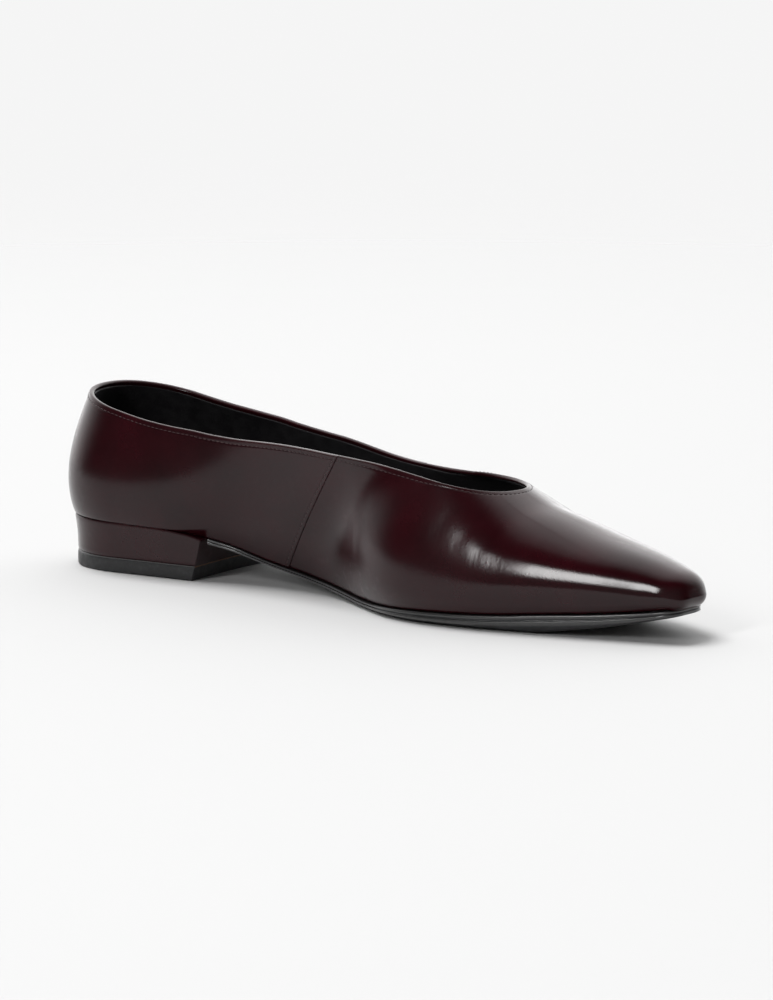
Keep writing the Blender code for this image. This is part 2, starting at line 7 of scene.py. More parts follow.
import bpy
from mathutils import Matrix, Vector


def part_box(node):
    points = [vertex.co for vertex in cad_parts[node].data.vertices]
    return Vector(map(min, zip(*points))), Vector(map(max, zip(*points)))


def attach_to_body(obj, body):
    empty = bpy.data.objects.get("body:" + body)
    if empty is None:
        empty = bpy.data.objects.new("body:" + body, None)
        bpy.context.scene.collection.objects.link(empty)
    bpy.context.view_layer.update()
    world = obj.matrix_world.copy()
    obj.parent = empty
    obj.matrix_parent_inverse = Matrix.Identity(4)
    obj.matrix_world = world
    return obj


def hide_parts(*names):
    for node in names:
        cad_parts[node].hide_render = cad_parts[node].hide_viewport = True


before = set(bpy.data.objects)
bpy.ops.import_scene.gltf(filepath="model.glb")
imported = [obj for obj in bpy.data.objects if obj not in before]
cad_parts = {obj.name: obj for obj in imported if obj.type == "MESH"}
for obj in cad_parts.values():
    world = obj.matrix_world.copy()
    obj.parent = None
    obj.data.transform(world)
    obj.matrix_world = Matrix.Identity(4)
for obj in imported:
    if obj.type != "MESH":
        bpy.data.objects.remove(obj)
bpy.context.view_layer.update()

import logging
import math
from dataclasses import dataclass, field
from enum import Enum
from typing import NamedTuple, Sequence

import bmesh
import bpy
import numpy as np
from mathutils import Vector

log = logging.getLogger("flat")

BODY = "root"
MM = 0.001
Socket = bpy.types.NodeSocket
Pair = tuple[float, float]
Colour = tuple[float, float, float]
Span = tuple[float, float, float, float]


class Side(Enum):
    """The two sides of the shoe."""

    MEDIAL = "medial"
    LATERAL = "lateral"


class SoleRow(NamedTuple):
    """Sole from the side: lifts as shares of the heel height and the toe spring, edge of its thickness."""

    x: float
    heel_lift: float
    toe_lift: float
    edge: float


class SidesRow(NamedTuple):
    """A value for each side at a station."""

    x: float
    medial: float
    lateral: float


class CollarRow(NamedTuple):
    """Collar: plan as shares of the ball width, rises as shares of the collar's own height."""

    x: float
    medial: float
    lateral: float
    medial_rise: float
    lateral_rise: float


class VampRow(NamedTuple):
    """Vamp: ridge of the throat's height, belly of its height, ridge's line as a share of the ball width."""

    x: float
    ridge: float
    belly: float
    axis: float


class ThroatRow(NamedTuple):
    """Front of the collar on a side: where its curve begins, and its roundness."""

    start: float
    power: float


class Rim(NamedTuple):
    """A line round a layer's edge: height as a share, and inset in millimetres from the widest line."""

    height: float
    inset: float


def table(kind: type, *values: tuple[float, ...]) -> tuple:
    """Rows of one kind."""
    return tuple(kind(*value) for value in values)


SOLE_ROWS = table(
    SoleRow,
    (0.000, 1.13, 0.00, 0.45), (0.100, 1.11, 0.00, 0.45), (0.170, 1.08, 0.00, 0.47),
    (0.229, 0.99, 0.00, 0.49), (0.275, 0.82, 0.00, 0.43), (0.325, 0.59, 0.00, 0.36),
    (0.375, 0.39, 0.00, 0.34), (0.430, 0.21, 0.00, 0.37), (0.485, 0.08, 0.00, 0.44),
    (0.540, 0.01, 0.00, 0.53), (0.575, 0.00, 0.00, 0.61), (0.640, 0.00, 0.00, 0.78),
    (0.705, 0.00, 0.00, 0.91), (0.760, 0.00, 0.03, 0.98), (0.820, 0.00, 0.16, 1.00),
    (0.880, 0.00, 0.35, 0.90), (0.940, 0.00, 0.63, 0.70), (1.000, 0.00, 1.00, 0.45),
)
FOOT_ROWS = table(
    SidesRow,
    (0.115, -0.373, 0.352), (0.180, -0.345, 0.362), (0.229, -0.297, 0.347), (0.280, -0.226, 0.340),
    (0.340, -0.196, 0.356), (0.400, -0.184, 0.392), (0.462, -0.227, 0.443), (0.535, -0.347, 0.488),
    (0.610, -0.463, 0.494), (0.687, -0.475, 0.443), (0.763, -0.422, 0.365), (0.840, -0.339, 0.283),
    (0.908, -0.262, 0.199), (0.954, -0.209, 0.125), (1.000, -0.163, 0.037),
)
COLLAR_ROWS = table(
    CollarRow,
    (0.015, -0.305, 0.285, 1.000, 1.000), (0.107, -0.317, 0.310, 0.905, 0.905),
    (0.190, -0.323, 0.338, 0.857, 0.843), (0.275, -0.312, 0.348, 0.914, 0.862),
    (0.351, -0.310, 0.352, 1.044, 0.932), (0.420, -0.323, 0.349, 1.137, 0.944),
    (0.489, -0.347, 0.328, 1.181, 0.960), (0.561, -0.368, 0.285, 1.183, 0.985),
    (0.630, -0.360, 0.222, 1.120, 0.992), (0.734, -0.330, 0.100, 1.000, 1.000),
)
SWELL_ROWS = table(
    SidesRow,
    (0.000, 1.00, 1.00), (0.115, 1.00, 1.00), (0.190, 0.90, 0.92), (0.275, 0.62, 0.72),
    (0.351, 0.40, 0.62), (0.420, 0.38, 0.75), (0.489, 0.80, 1.05), (0.561, 1.35, 1.30),
    (1.000, 1.50, 1.40),
)
VAMP_ROWS = table(
    VampRow,
    (0.480, 1.560, 1.20, -0.060), (0.561, 1.420, 1.15, -0.070), (0.630, 1.240, 1.10, -0.076),
    (0.700, 1.032, 1.02, -0.071), (0.734, 0.915, 1.00, -0.066), (0.762, 0.822, 1.00, -0.062),
    (0.790, 0.756, 1.00, -0.060), (0.850, 0.624, 0.95, -0.060), (0.910, 0.506, 0.80, -0.062),
    (0.955, 0.404, 0.58, -0.064), (1.010, 0.240, 0.40, -0.064),
)
# where a line of the upper, which starts at a place x on the foot, meets the collar on each side
LINE_ROWS = table(
    SidesRow,
    (0.00, 0.00, 0.00), (1.00, 1.00, 1.00), (1.14, 1.31, 1.33), (1.31, 1.74, 1.80), (1.48, 1.88, 1.93),
    (1.64, 2.02, 2.08), (1.82, 2.34, 2.38), (2.00, 2.70, 2.72), (3.00, 3.00, 3.00),
)
HEEL_ROWS = table(
    SidesRow,
    (0.110, -0.511, 0.480), (0.172, -0.472, 0.498), (0.236, -0.436, 0.476), (0.270, -0.420, 0.462),
)
THROAT_ROWS = {Side.MEDIAL: ThroatRow(0.630, 2.3), Side.LATERAL: ThroatRow(0.585, 1.75)}
FRONT = 3.0                # place of the front centre; 0 is the back centre, 1 and 2 end the straight sides
ROUND = 2.0 * FRONT        # once round the shoe, forward on the medial side and back on the lateral
TREAD_DIP = -0.45          # the sole's faces whose normals dip below this are tread
BREAST_TURN = 0.7          # the heel board's faces whose normals point further ahead than this are breast


def power_arc(turn: np.ndarray, power: float) -> tuple[np.ndarray, np.ndarray]:
    """Unit superellipse.

    Args:
        turn: 0 where the side ends to 1 on the centre line.
        power: Squareness; 2 is a circle.

    Returns:
        How far ahead and how far out the curve is.
    """
    angle = np.clip(turn, 0.0, 1.0) * math.pi / 2
    return np.sin(angle) ** (2 / power), np.abs(np.cos(angle)) ** (2 / power)


def smoothstep(low: float, high: float, value: np.ndarray) -> np.ndarray:
    """0 below low, 1 above high, smooth between."""
    t = np.clip((np.asarray(value, float) - low) / (high - low), 0.0, 1.0)
    return t * t * (3.0 - 2.0 * t)


def hump(span: Span, value: np.ndarray) -> np.ndarray:
    """0 outside a span, 1 in its inner part, smooth between."""
    begin, full, fade, end = span
    return smoothstep(begin, full, value) * (1.0 - smoothstep(fade, end, value))


def crowded(count: int, amount: float) -> np.ndarray:
    """Shares from 0 to 1 that lie closer together at both ends."""
    shares = np.linspace(0.0, 1.0, count + 1)
    return shares - amount * np.sin(2 * math.pi * shares) / math.pi


def unit(vectors: np.ndarray) -> np.ndarray:
    """Vectors of length one along the last axis."""
    return vectors / np.maximum(np.linalg.norm(vectors, axis=-1, keepdims=True), 1e-12)


class Stations:
    """Values at listed stations, for a curve that runs through them."""

    def __init__(self, stations: Sequence[float], values: Sequence[float]) -> None:
        """Keep the stations with the gaps and slopes between them."""
        self.stations = np.array(stations, float)
        self.values = np.array(values, float)
        self.gaps = np.diff(self.stations)
        self.slopes = np.diff(self.values) / self.gaps

    def locate(self, x: np.ndarray) -> tuple[np.ndarray, np.ndarray, np.ndarray]:
        """Number of the gap at each x, its width, and how far along it x lies."""
        x = np.asarray(x, float)
        i = np.clip(np.searchsorted(self.stations, x) - 1, 0, len(self.gaps) - 1)
        return i, self.gaps[i], (x - self.stations[i]) / self.gaps[i]


class Fair(Stations):
    """Natural cubic spline through listed stations, straight beyond them."""

    def __init__(self, stations: Sequence[float], values: Sequence[float]) -> None:
        """Solve for the bend at every station."""
        super().__init__(stations, values)
        count = len(self.values)
        system = np.eye(count)
        bends = np.zeros(count)
        for i in range(1, count - 1):
            before, after = self.gaps[i - 1], self.gaps[i]
            system[i, i - 1 : i + 2] = before, 2 * (before + after), after
            bends[i] = 6 * (self.slopes[i] - self.slopes[i - 1])
        self.bends = np.linalg.solve(system, bends)

    def __call__(self, x: np.ndarray) -> np.ndarray:
        """Value at each x."""
        i, gap, t = self.locate(x)
        low, high = self.bends[i], self.bends[i + 1]
        inside = np.clip(t, 0.0, 1.0)
        bow = low * ((1 - inside) ** 3 - (1 - inside)) + high * (inside**3 - inside)
        before = -np.minimum(t, 0.0) * (2 * low + high)
        after = np.maximum(t - 1.0, 0.0) * (low + 2 * high)
        return self.values[i] + self.slopes[i] * gap * t + (bow + before + after) * gap**2 / 6


class Steady(Stations):
    """Cubic through listed stations that never overshoots them."""

    def __init__(self, stations: Sequence[float], values: Sequence[float]) -> None:
        """Set the slope at every station."""
        super().__init__(stations, values)
        self.tangents = np.concatenate([self.slopes[:1], np.zeros(len(self.slopes) - 1), self.slopes[-1:]])
        for i in range(1, len(self.slopes)):
            before, after = self.slopes[i - 1], self.slopes[i]
            if before * after > 0.0:
                self.tangents[i] = 2.0 * before * after / (before + after)

    def __call__(self, x: np.ndarray) -> np.ndarray:
        """Value at each x."""
        i, gap, t = self.locate(x)
        s = np.clip(t, 0.0, 1.0)
        start, end = gap * self.tangents[i], gap * self.tangents[i + 1]
        curve = (2 * s**3 - 3 * s**2 + 1) * self.values[i] + (s**3 - 2 * s**2 + s) * start
        curve += (3 * s**2 - 2 * s**3) * self.values[i + 1] + (s**3 - s**2) * end
        return curve + np.minimum(t, 0.0) * start + np.maximum(t - 1.0, 0.0) * end


@dataclass
class Last:
    """The last that every piece follows, with the outsole's and the heel's own outlines."""

    length: float = 0.262
    ball_width: float = 0.075
    heel_width: float = 0.054
    heel_height: float = 0.014
    toe_spring: float = 0.009
    sole_edge: float = 0.0051
    quarter_height: float = 0.0437
    throat_height: float = 0.0387
    ledge: float = 0.0010
    gap: float = 0.0003
    belly_swell: float = 0.0026
    belly_height: float = 0.0080
    counter_swell: float = 0.0042
    counter_set: float = 0.0010
    collar_set: float = 0.0040
    heel_round: float = 0.115
    toe_round: float = 0.954
    nose_round: float = 0.979
    collar_round: float = 0.107
    throat: float = 0.734
    heel_axis: float = -0.010
    toe_axis: float = -0.064
    throat_axis: float = -0.066
    toe_power: float = 5.0
    heel_power: float = 2.1
    collar_power: float = 2.2
    nose_power: float = 3.6
    vamp_power: float = 2.2
    lip_power: float = 2.0
    foot_share: float = 3 / 14
    vamp_blend: Pair = (1.36, 1.70)
    breast_medial: float = 0.236
    breast_lateral: float = 0.222
    breast_lean: float = 0.28
    swell_bias: float = 0.8
    normal_step: float = 0.004
    outline_samples: int = 3000
    even_samples: int = 6000
    origin_steps: int = 60
    curves: dict = field(init=False, default_factory=dict)
    origin: np.ndarray = field(init=False)

    def __post_init__(self) -> None:
        """Fit the tables' curves, sample the outlines and find where the frame stands."""
        self._fit("heel_lift", SOLE_ROWS, "heel_lift", Steady)
        self._fit("toe_lift", SOLE_ROWS, "toe_lift", Steady)
        self._fit("edge", SOLE_ROWS, "edge", Fair)
        for side in Side:
            name = side.value
            self._fit(name + "_foot", FOOT_ROWS, name, Fair)
            self._fit(name + "_collar", COLLAR_ROWS, name, Fair)
            self._fit(name + "_rise", COLLAR_ROWS, name + "_rise", Fair)
            self._fit(name + "_swell", SWELL_ROWS, name, Fair)
            self._fit(name + "_line", LINE_ROWS, name, Steady)
            self._fit(name + "_heel", HEEL_ROWS, name, Fair)
        for name in ("ridge", "belly", "axis"):
            self._fit(name, VAMP_ROWS, name, Fair)
        self._sample_outlines()
        self.origin = self._find_origin()

    def _fit(self, name: str, rows: Sequence, column: str, curve: type) -> None:
        """Fit one table's column."""
        self.curves[name] = curve([row.x for row in rows], [getattr(row, column) for row in rows])

    def column(self, name: str, x: np.ndarray) -> np.ndarray:
        """A table's value at a length along the last."""
        return self.curves[name](np.asarray(x) / self.length)

    def _sample_outlines(self) -> None:
        """Sample foot and collar once round, with their outward directions in plan."""
        places = np.linspace(0.0, FRONT, self.outline_samples)
        around = np.concatenate([places, ROUND - places[-2:0:-1]])
        feet = self.foot(around)
        middle = (feet + self.collar(around)[:, :2]) / 2
        self.around = np.append(around, ROUND)
        self.foot_normals = self.outward(feet)
        self.middle_normals = self.outward(middle)
        spread = feet + self.foot_normals[:-1] * self.belly_swell
        self.belly_runs = {
            Side.MEDIAL: spread[: self.outline_samples],
            Side.LATERAL: np.concatenate([spread[:1], spread[: self.outline_samples - 2 : -1]]),
        }
        for side, run in self.belly_runs.items():
            self.belly_runs[side] = run[np.argsort(run[:, 0])]

    @staticmethod
    def outward(ring: np.ndarray) -> np.ndarray:
        """Unit normals in plan of a closed ring, with the first repeated at the end."""
        ahead = np.roll(ring, -1, axis=0) - np.roll(ring, 1, axis=0)
        normal = unit(np.stack([ahead[:, 1], -ahead[:, 0]], axis=1))
        return np.concatenate([normal, normal[:1]])

    def _find_origin(self) -> np.ndarray:
        """Last coordinates of the frame's origin, from the top piece's box."""
        low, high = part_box("top_piece")
        medial, lateral = self.heel_runs(0.0, 0.0, self.origin_steps)
        middle = (medial[:, 1].min() + lateral[:, 1].max()) / 2
        return np.array([-low.x, middle - (low.y + high.y) / 2, 0.0])

    def to_frame(self, points: np.ndarray) -> np.ndarray:
        """Points of the last in the frame's coordinates."""
        return np.asarray(points, float) - self.origin

    def tread(self, x: np.ndarray) -> np.ndarray:
        """Underside of the sole above the floor."""
        return self.column("heel_lift", x) * self.heel_height + self.column("toe_lift", x) * self.toe_spring

    def edge(self, x: np.ndarray) -> np.ndarray:
        """Height of the outsole's edge."""
        return self.column("edge", x) * self.sole_edge

    def seat(self, x: np.ndarray) -> np.ndarray:
        """Top of the outsole and of the heel."""
        return self.tread(x) + self.edge(x)

    @staticmethod
    def _split(around: np.ndarray) -> tuple[np.ndarray, np.ndarray]:
        """Place from 0 (back) to 3 (front), and whether the side is the medial one."""
        around = np.asarray(around, float) % ROUND
        return np.where(around <= FRONT, around, ROUND - around), around <= FRONT

    def _by_side(self, name: str, x: np.ndarray, is_medial: np.ndarray) -> np.ndarray:
        """A sided column's value on the side of each point."""
        return np.where(is_medial, self.column("medial_" + name, x), self.column("lateral_" + name, x))

    def foot(self, around: np.ndarray) -> np.ndarray:
        """Foot of the upper in plan.

        Args:
            around: Coordinates round the shoe, 0 at the back centre, 3 at the toe, 6 at the back again.

        Returns:
            Plan points.
        """
        place, is_medial = self._split(around)
        back = self.heel_round * self.length
        front = self.toe_round * self.length
        ahead_heel, out_heel = power_arc(1.0 - place, self.heel_power)
        ahead_toe, out_toe = power_arc(place - 2.0, self.toe_power)
        x = back + (front - back) * (place - 1.0)
        x = np.where(place < 1.0, back - (back + self.counter_set) * ahead_heel, x)
        x = np.where(place > 2.0, front + (self.length - self.ledge - front) * ahead_toe, x)
        out = np.where(place < 1.0, out_heel, np.where(place > 2.0, out_toe, 1.0))
        axis = np.where(place < 1.5, self.heel_axis, self.toe_axis) * self.ball_width
        edge = self._by_side("foot", x, is_medial) * self.ball_width
        return np.stack([x, axis + (edge - axis) * out], axis=-1)

    def _collar_side(self, place: np.ndarray, side: Side) -> np.ndarray:
        """Collar edge on one side."""
        throat = THROAT_ROWS[side]
        back = self.collar_round * self.length
        front = throat.start * self.length
        ahead_back, out_back = power_arc(1.0 - place, self.collar_power)
        ahead_front, out_front = power_arc(place - 2.0, throat.power)
        x = back + (front - back) * (place - 1.0)
        x = np.where(place < 1.0, back - (back - self.collar_set) * ahead_back, x)
        x = np.where(place > 2.0, front + (self.throat * self.length - front) * ahead_front, x)
        out = np.where(place < 1.0, out_back, np.where(place > 2.0, out_front, 1.0))
        axis = np.where(place < 1.5, self.heel_axis, self.throat_axis) * self.ball_width
        edge = self.column(side.value + "_collar", np.minimum(x, front)) * self.ball_width
        share = (x - self.collar_set) / (self.throat * self.length - self.collar_set)
        base = self.quarter_height + (self.throat_height - self.quarter_height) * share
        z = self.seat(x) + self.column(side.value + "_rise", x) * base
        return np.stack([x, axis + (edge - axis) * out, z], axis=-1)

    def collar(self, around: np.ndarray) -> np.ndarray:
        """Collar edge above the line that starts at a place on the foot."""
        place, is_medial = self._split(around)
        sides = {}
        for side in Side:
            sides[side] = self._collar_side(self.curves[side.value + "_line"](place), side)
        return np.where(is_medial[..., None], sides[Side.MEDIAL], sides[Side.LATERAL])

    def belly_z(self, x: np.ndarray) -> np.ndarray:
        """Level at which the forepart's wall is widest."""
        return self.seat(x) + self.gap + self.column("belly", x) * self.belly_height

    def over(self, x: np.ndarray, y: np.ndarray) -> np.ndarray:
        """Height of the vamp above the floor at plan points inside the belly's outline."""
        axis = self.column("axis", x) * self.ball_width
        edges = {}
        for side, run in self.belly_runs.items():
            edges[side] = np.interp(x, run[:, 0], run[:, 1])
        edge = np.where(y < axis, edges[Side.MEDIAL], edges[Side.LATERAL])
        across = np.clip(np.abs((y - axis) / (edge - axis)), 0.0, 1.0)
        belly = self.belly_z(x)
        rise = self.seat(x) + self.gap + self.column("ridge", x) * self.throat_height - belly
        nose = self.nose_round * self.length
        front = self.belly_runs[Side.MEDIAL][-1, 0]
        ahead = np.clip((x - nose) / (front - nose), 0.0, 1.0)
        rise = rise * (1.0 - ahead**self.nose_power) ** (1 / self.nose_power)
        return belly + rise * (1.0 - across**self.vamp_power) ** (1 / self.vamp_power)

    def lines(self, around: np.ndarray, levels: np.ndarray) -> np.ndarray:
        """Points of the last's surface.

        Args:
            around: Coordinates round the shoe, one for each line.
            levels: Shares of the way from foot to collar, a row for each line.

        Returns:
            Points by line and level.
        """
        around = np.asarray(around, float)
        levels = np.broadcast_to(levels, (len(around), np.shape(levels)[-1]))
        wrapped = around % ROUND
        place, is_medial = self._split(around)
        foot = self.foot(around)
        foot = np.concatenate([foot, (self.seat(foot[:, 0]) + self.gap)[:, None]], axis=1)
        top = self.collar(around)
        middle_normal = self._plan_normals(wrapped, self.middle_normals)
        foot_normal = self._plan_normals(wrapped, self.foot_normals)
        swell = self._by_side("swell", np.maximum(foot[:, 0], 0.0), is_medial) * self.counter_swell
        wall = foot[:, None] + (top - foot)[:, None] * levels[..., None]
        bulge = swell[:, None] * np.sin(math.pi * levels**self.swell_bias)
        wall[..., :2] += middle_normal[:, None] * bulge[..., None]
        share = smoothstep(*self.vamp_blend, place)[:, None, None]
        return wall + (self._vamp_lines(foot, top, foot_normal, levels) - wall) * share

    def _plan_normals(self, wrapped: np.ndarray, normals: np.ndarray) -> np.ndarray:
        """Outward directions in plan at coordinates round the shoe."""
        return unit(np.stack([np.interp(wrapped, self.around, normals[:, k]) for k in range(2)], axis=1))

    def _vamp_lines(
        self, foot: np.ndarray, top: np.ndarray, normal: np.ndarray, levels: np.ndarray
    ) -> np.ndarray:
        """Lines of the vamp: out to the belly, then over the last to the throat."""
        belly = foot[:, :2] + normal * self.belly_swell
        meet = top[:, 2] - self.over(top[:, 0], top[:, 1])
        up_foot = np.clip(levels / self.foot_share, 0.0, 1.0)
        up = np.clip((levels - self.foot_share) / (1.0 - self.foot_share), 0.0, 1.0) ** self.vamp_power
        out = np.sin(up_foot * math.pi / 2)[..., None]
        low_plan = foot[:, None, :2] + (belly - foot[:, :2])[:, None] * out
        high_plan = belly[:, None] + (top[:, :2] - belly)[:, None] * up[..., None]
        low_z = foot[:, 2:3] + (self.belly_z(low_plan[..., 0]) - foot[:, 2:3]) * up_foot
        high_z = self.over(high_plan[..., 0], high_plan[..., 1]) + meet[:, None] * up**self.lip_power
        is_low = levels <= self.foot_share
        plan = np.where(is_low[..., None], low_plan, high_plan)
        return np.concatenate([plan, np.where(is_low, low_z, high_z)[..., None]], axis=-1)

    def normals(self, around: np.ndarray, levels: np.ndarray) -> np.ndarray:
        """Outward unit normals of the last's surface at the same coordinates as lines."""
        step = self.normal_step
        ahead = self.lines(around + step, levels) - self.lines(around - step, levels)
        low, high = np.clip(levels - step, 0.0, 1.0), np.clip(levels + step, 0.0, 1.0)
        up = self.lines(around, high) - self.lines(around, low)
        return unit(np.cross(ahead, up))

    def even_around(self, start: float, end: float, count: int) -> np.ndarray:
        """Coordinates round the shoe at even steps along foot and collar together."""
        fine = np.linspace(start, end, self.even_samples)
        step = np.linalg.norm(np.diff(self.foot(fine), axis=0), axis=1)
        step = step + np.linalg.norm(np.diff(self.collar(fine), axis=0), axis=1)
        return np.interp(np.linspace(0.0, 1.0, count), np.append(0.0, np.cumsum(step)) / step.sum(), fine)

    def breast_x(self, side: Side, z: float) -> float:
        """Corner of the heel's breast at a height."""
        share = self.breast_medial if side is Side.MEDIAL else self.breast_lateral
        return share * self.length + self.breast_lean * z

    def heel_runs(self, z: float, flare: float, steps: int) -> list[np.ndarray]:
        """Heel outline at a height, from its back centre to its breast, on each side.

        Args:
            z: Height above the floor.
            flare: How far the outline is moved outwards.
            steps: Points on each side's curve.

        Returns:
            Medial and lateral runs of plan points.
        """
        back = self.heel_round * self.length
        axis = self.heel_axis * self.heel_width
        runs = []
        for side in Side:
            ahead, out = power_arc(1.0 - np.linspace(0.0, 1.0, steps)[:-1], self.heel_power)
            straight = np.linspace(back, self.breast_x(side, z), steps // 2)
            x = np.concatenate([back * (1.0 - ahead), straight])
            out = np.concatenate([out, np.ones(len(straight))])
            edge = self.column(side.value + "_heel", x) * self.heel_width
            runs.append(np.stack([x, axis + (edge - axis) * out], axis=1))
        return spread_runs(runs[0], runs[1], flare)


def spread_runs(medial: np.ndarray, lateral: np.ndarray, distance: float) -> list[np.ndarray]:
    """Move two runs outwards that meet at one end and lie on the heel's breast at the other.

    Args:
        medial: Points on the medial side, from the back to the front.
        lateral: Points on the lateral side, from the back to the front.
        distance: How far outwards.

    Returns:
        The moved runs. Their ends on the breast keep their place along the shoe.
    """
    count = len(medial)
    meet_in_front = np.allclose(medial[-1], lateral[-1])
    if meet_in_front:
        path = np.concatenate([medial, lateral[-2::-1]])
    else:
        path = np.concatenate([lateral[::-1], medial[1:]])
    ahead = np.gradient(path, axis=0)
    moved = path + unit(np.stack([ahead[:, 1], -ahead[:, 0]], axis=1)) * distance
    moved[[0, -1], 0] = path[[0, -1], 0]
    if meet_in_front:
        return [moved[:count], moved[: count - 2 : -1]]
    return [moved[count - 1 :], moved[count - 1 :: -1]]


def build_object(name: str, points: np.ndarray, faces: Sequence, sharp: float = 50.0) -> bpy.types.Object:
    """Closed mesh object at the origin.

    Args:
        name: Piece's name.
        points: Points in the frame's coordinates.
        faces: Corner numbers of each face; repeated corners are dropped.
        sharp: Angle in degrees above which an edge shades sharp.

    Returns:
        The object, with merged points and faces outwards.
    """
    mesh = bpy.data.meshes.new(name)
    mesh.from_pydata([tuple(point) for point in points], [], [tuple(face) for face in faces])
    work = bmesh.new()
    work.from_mesh(mesh)
    bmesh.ops.remove_doubles(work, verts=work.verts, dist=2e-6)
    bmesh.ops.dissolve_degenerate(work, edges=work.edges, dist=1e-7)
    bmesh.ops.recalc_face_normals(work, faces=work.faces)
    work.to_mesh(mesh)
    work.free()
    mesh.shade_smooth()
    mesh.set_sharp_from_angle(angle=math.radians(sharp))
    item = bpy.data.objects.new(name, mesh)
    bpy.context.scene.collection.objects.link(item)
    return item


def sweep_faces(across: int, around: int, is_ring: bool) -> np.ndarray:
    """Faces of a closed profile swept along lines.

    Args:
        across: Points of the profile, which closes on itself.
        around: Number of lines.
        is_ring: Whether the last line joins the first.

    Returns:
        Quads, for points numbered line by line.
    """
    lines = np.arange(around if is_ring else around - 1)
    i, j = np.meshgrid(lines, np.arange(across), indexing="ij")
    i_next, j_next = (i + 1) % around, (j + 1) % across
    corners = [i * across + j, i_next * across + j, i_next * across + j_next, i * across + j_next]
    return np.stack(corners, axis=-1).reshape(-1, 4)


def attach(piece: bpy.types.Object, nodes: Sequence[str]) -> None:
    """Hand a finished piece to the frame.

    Args:
        piece: The piece, in place.
        nodes: CAD nodes that the piece stands for.
    """
    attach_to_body(piece, BODY)
    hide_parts(*nodes)
    log.info("piece %s: %d faces", piece.name, len(piece.data.polygons))


class Nodes:
    """A node tree that is filled one node at a time."""

    def __init__(self, tree: bpy.types.NodeTree) -> None:
        """Work on a tree."""
        self.tree = tree

    def add(self, kind: str, inputs: dict | None = None, **settings: object) -> bpy.types.Node:
        """Add a node.

        Args:
            kind: Blender's name of the node type.
            inputs: Values or output sockets by input name or number.
            settings: Properties of the node.

        Returns:
            The node.
        """
        node = self.tree.nodes.new(kind)
        for key, value in settings.items():
            setattr(node, key, value)
        for key, value in (inputs or {}).items():
            if isinstance(value, Socket):
                self.tree.links.new(value, node.inputs[key])
            else:
                node.inputs[key].default_value = value
        return node

    def span(self, value: Socket, low: float, high: float, start: float, end: float) -> Socket:
        """Map low..high to start..end, clamped and smooth."""
        inputs = {"Value": value, "From Min": low, "From Max": high, "To Min": start, "To Max": end}
        return self.add("ShaderNodeMapRange", inputs, interpolation_type="SMOOTHSTEP").outputs["Result"]

    def maths(self, operation: str, first: object, second: object) -> Socket:
        """Two values combined."""
        return self.add("ShaderNodeMath", {0: first, 1: second}, operation=operation).outputs[0]

    def curve(self, value: Socket, stops: Sequence[Pair]) -> Socket:
        """Smooth curve through stops over a value from 0 to 1."""
        node = self.add("ShaderNodeFloatCurve", {"Value": value})
        line = node.mapping.curves[0]
        line.points[0].location = stops[0]
        line.points[1].location = stops[-1]
        for at, height in stops[1:-1]:
            line.points.new(at, height)
        node.mapping.update()
        return node.outputs["Value"]


class Relief(NamedTuple):
    """Size of a pattern in a surface and its depth, both in metres."""

    size: float
    depth: float


class Graph(Nodes):
    """A material's nodes."""

    def __init__(self, name: str) -> None:
        """Start an empty material."""
        self.material = bpy.data.materials.new(name)
        self.material.use_nodes = True
        super().__init__(self.material.node_tree)
        self.tree.nodes.clear()
        self.place = self.add("ShaderNodeTexCoord").outputs["Object"]

    def noise(self, size: float, detail: float = 3.0, roughness: float = 0.55) -> Socket:
        """Noise whose blotches are about size metres across."""
        inputs = {"Vector": self.place, "Scale": 1.0 / size, "Detail": detail, "Roughness": roughness}
        return self.add("ShaderNodeTexNoise", inputs).outputs["Fac"]

    def drawn_noise(self, size: float, stretch: Sequence[float], detail: float) -> Socket:
        """Noise drawn out along the axes whose stretch is under one."""
        place = self.add("ShaderNodeMapping", {"Vector": self.place, "Scale": stretch}).outputs["Vector"]
        inputs = {"Vector": place, "Scale": 1.0 / size, "Detail": detail}
        return self.add("ShaderNodeTexNoise", inputs).outputs["Fac"]

    def cells(self, size: float, feature: str = "F1") -> Socket:
        """Distance in a cell pattern of that size in metres."""
        inputs = {"Vector": self.place, "Scale": 1.0 / size}
        return self.add("ShaderNodeTexVoronoi", inputs, feature=feature).outputs["Distance"]

    def patches(self, size: float, detail: float, limits: Pair, low: float = 0.3) -> Socket:
        """A value that wanders between two limits in patches of a size."""
        return self.span(self.noise(size, detail), low, 0.7, *limits)

    def ramp(self, value: Socket, stops: Sequence[tuple[float, Sequence[float]]]) -> Socket:
        """Colours along a value."""
        node = self.add("ShaderNodeValToRGB", {"Fac": value})
        points = node.color_ramp.elements
        while len(points) < len(stops):
            points.new(0.5)
        for point, (at, colour) in zip(points, stops):
            point.position = at
            point.color = (*colour, 1.0)
        return node.outputs["Color"]

    def bump(self, height: Socket, depth: float, under: Socket | None = None) -> Socket:
        """Bump of a depth in metres, over another bump if one is given."""
        inputs = {"Height": height, "Distance": depth, "Strength": 1.0}
        if under is not None:
            inputs["Normal"] = under
        return self.add("ShaderNodeBump", inputs).outputs["Normal"]

    def noise_bump(self, relief: Relief, detail: float, under: Socket | None = None) -> Socket:
        """Bump of noise."""
        return self.bump(self.noise(relief.size, detail), relief.depth, under)

    def cell_bump(self, relief: Relief, under: Socket | None = None) -> Socket:
        """Bump of a cell pattern."""
        return self.bump(self.cells(relief.size), relief.depth, under)

    def finish(self, inputs: dict) -> bpy.types.Material:
        """Close the material with a principled shader."""
        shader = self.add("ShaderNodeBsdfPrincipled", inputs)
        self.add("ShaderNodeOutputMaterial", {"Surface": shader.outputs["BSDF"]})
        return self.material


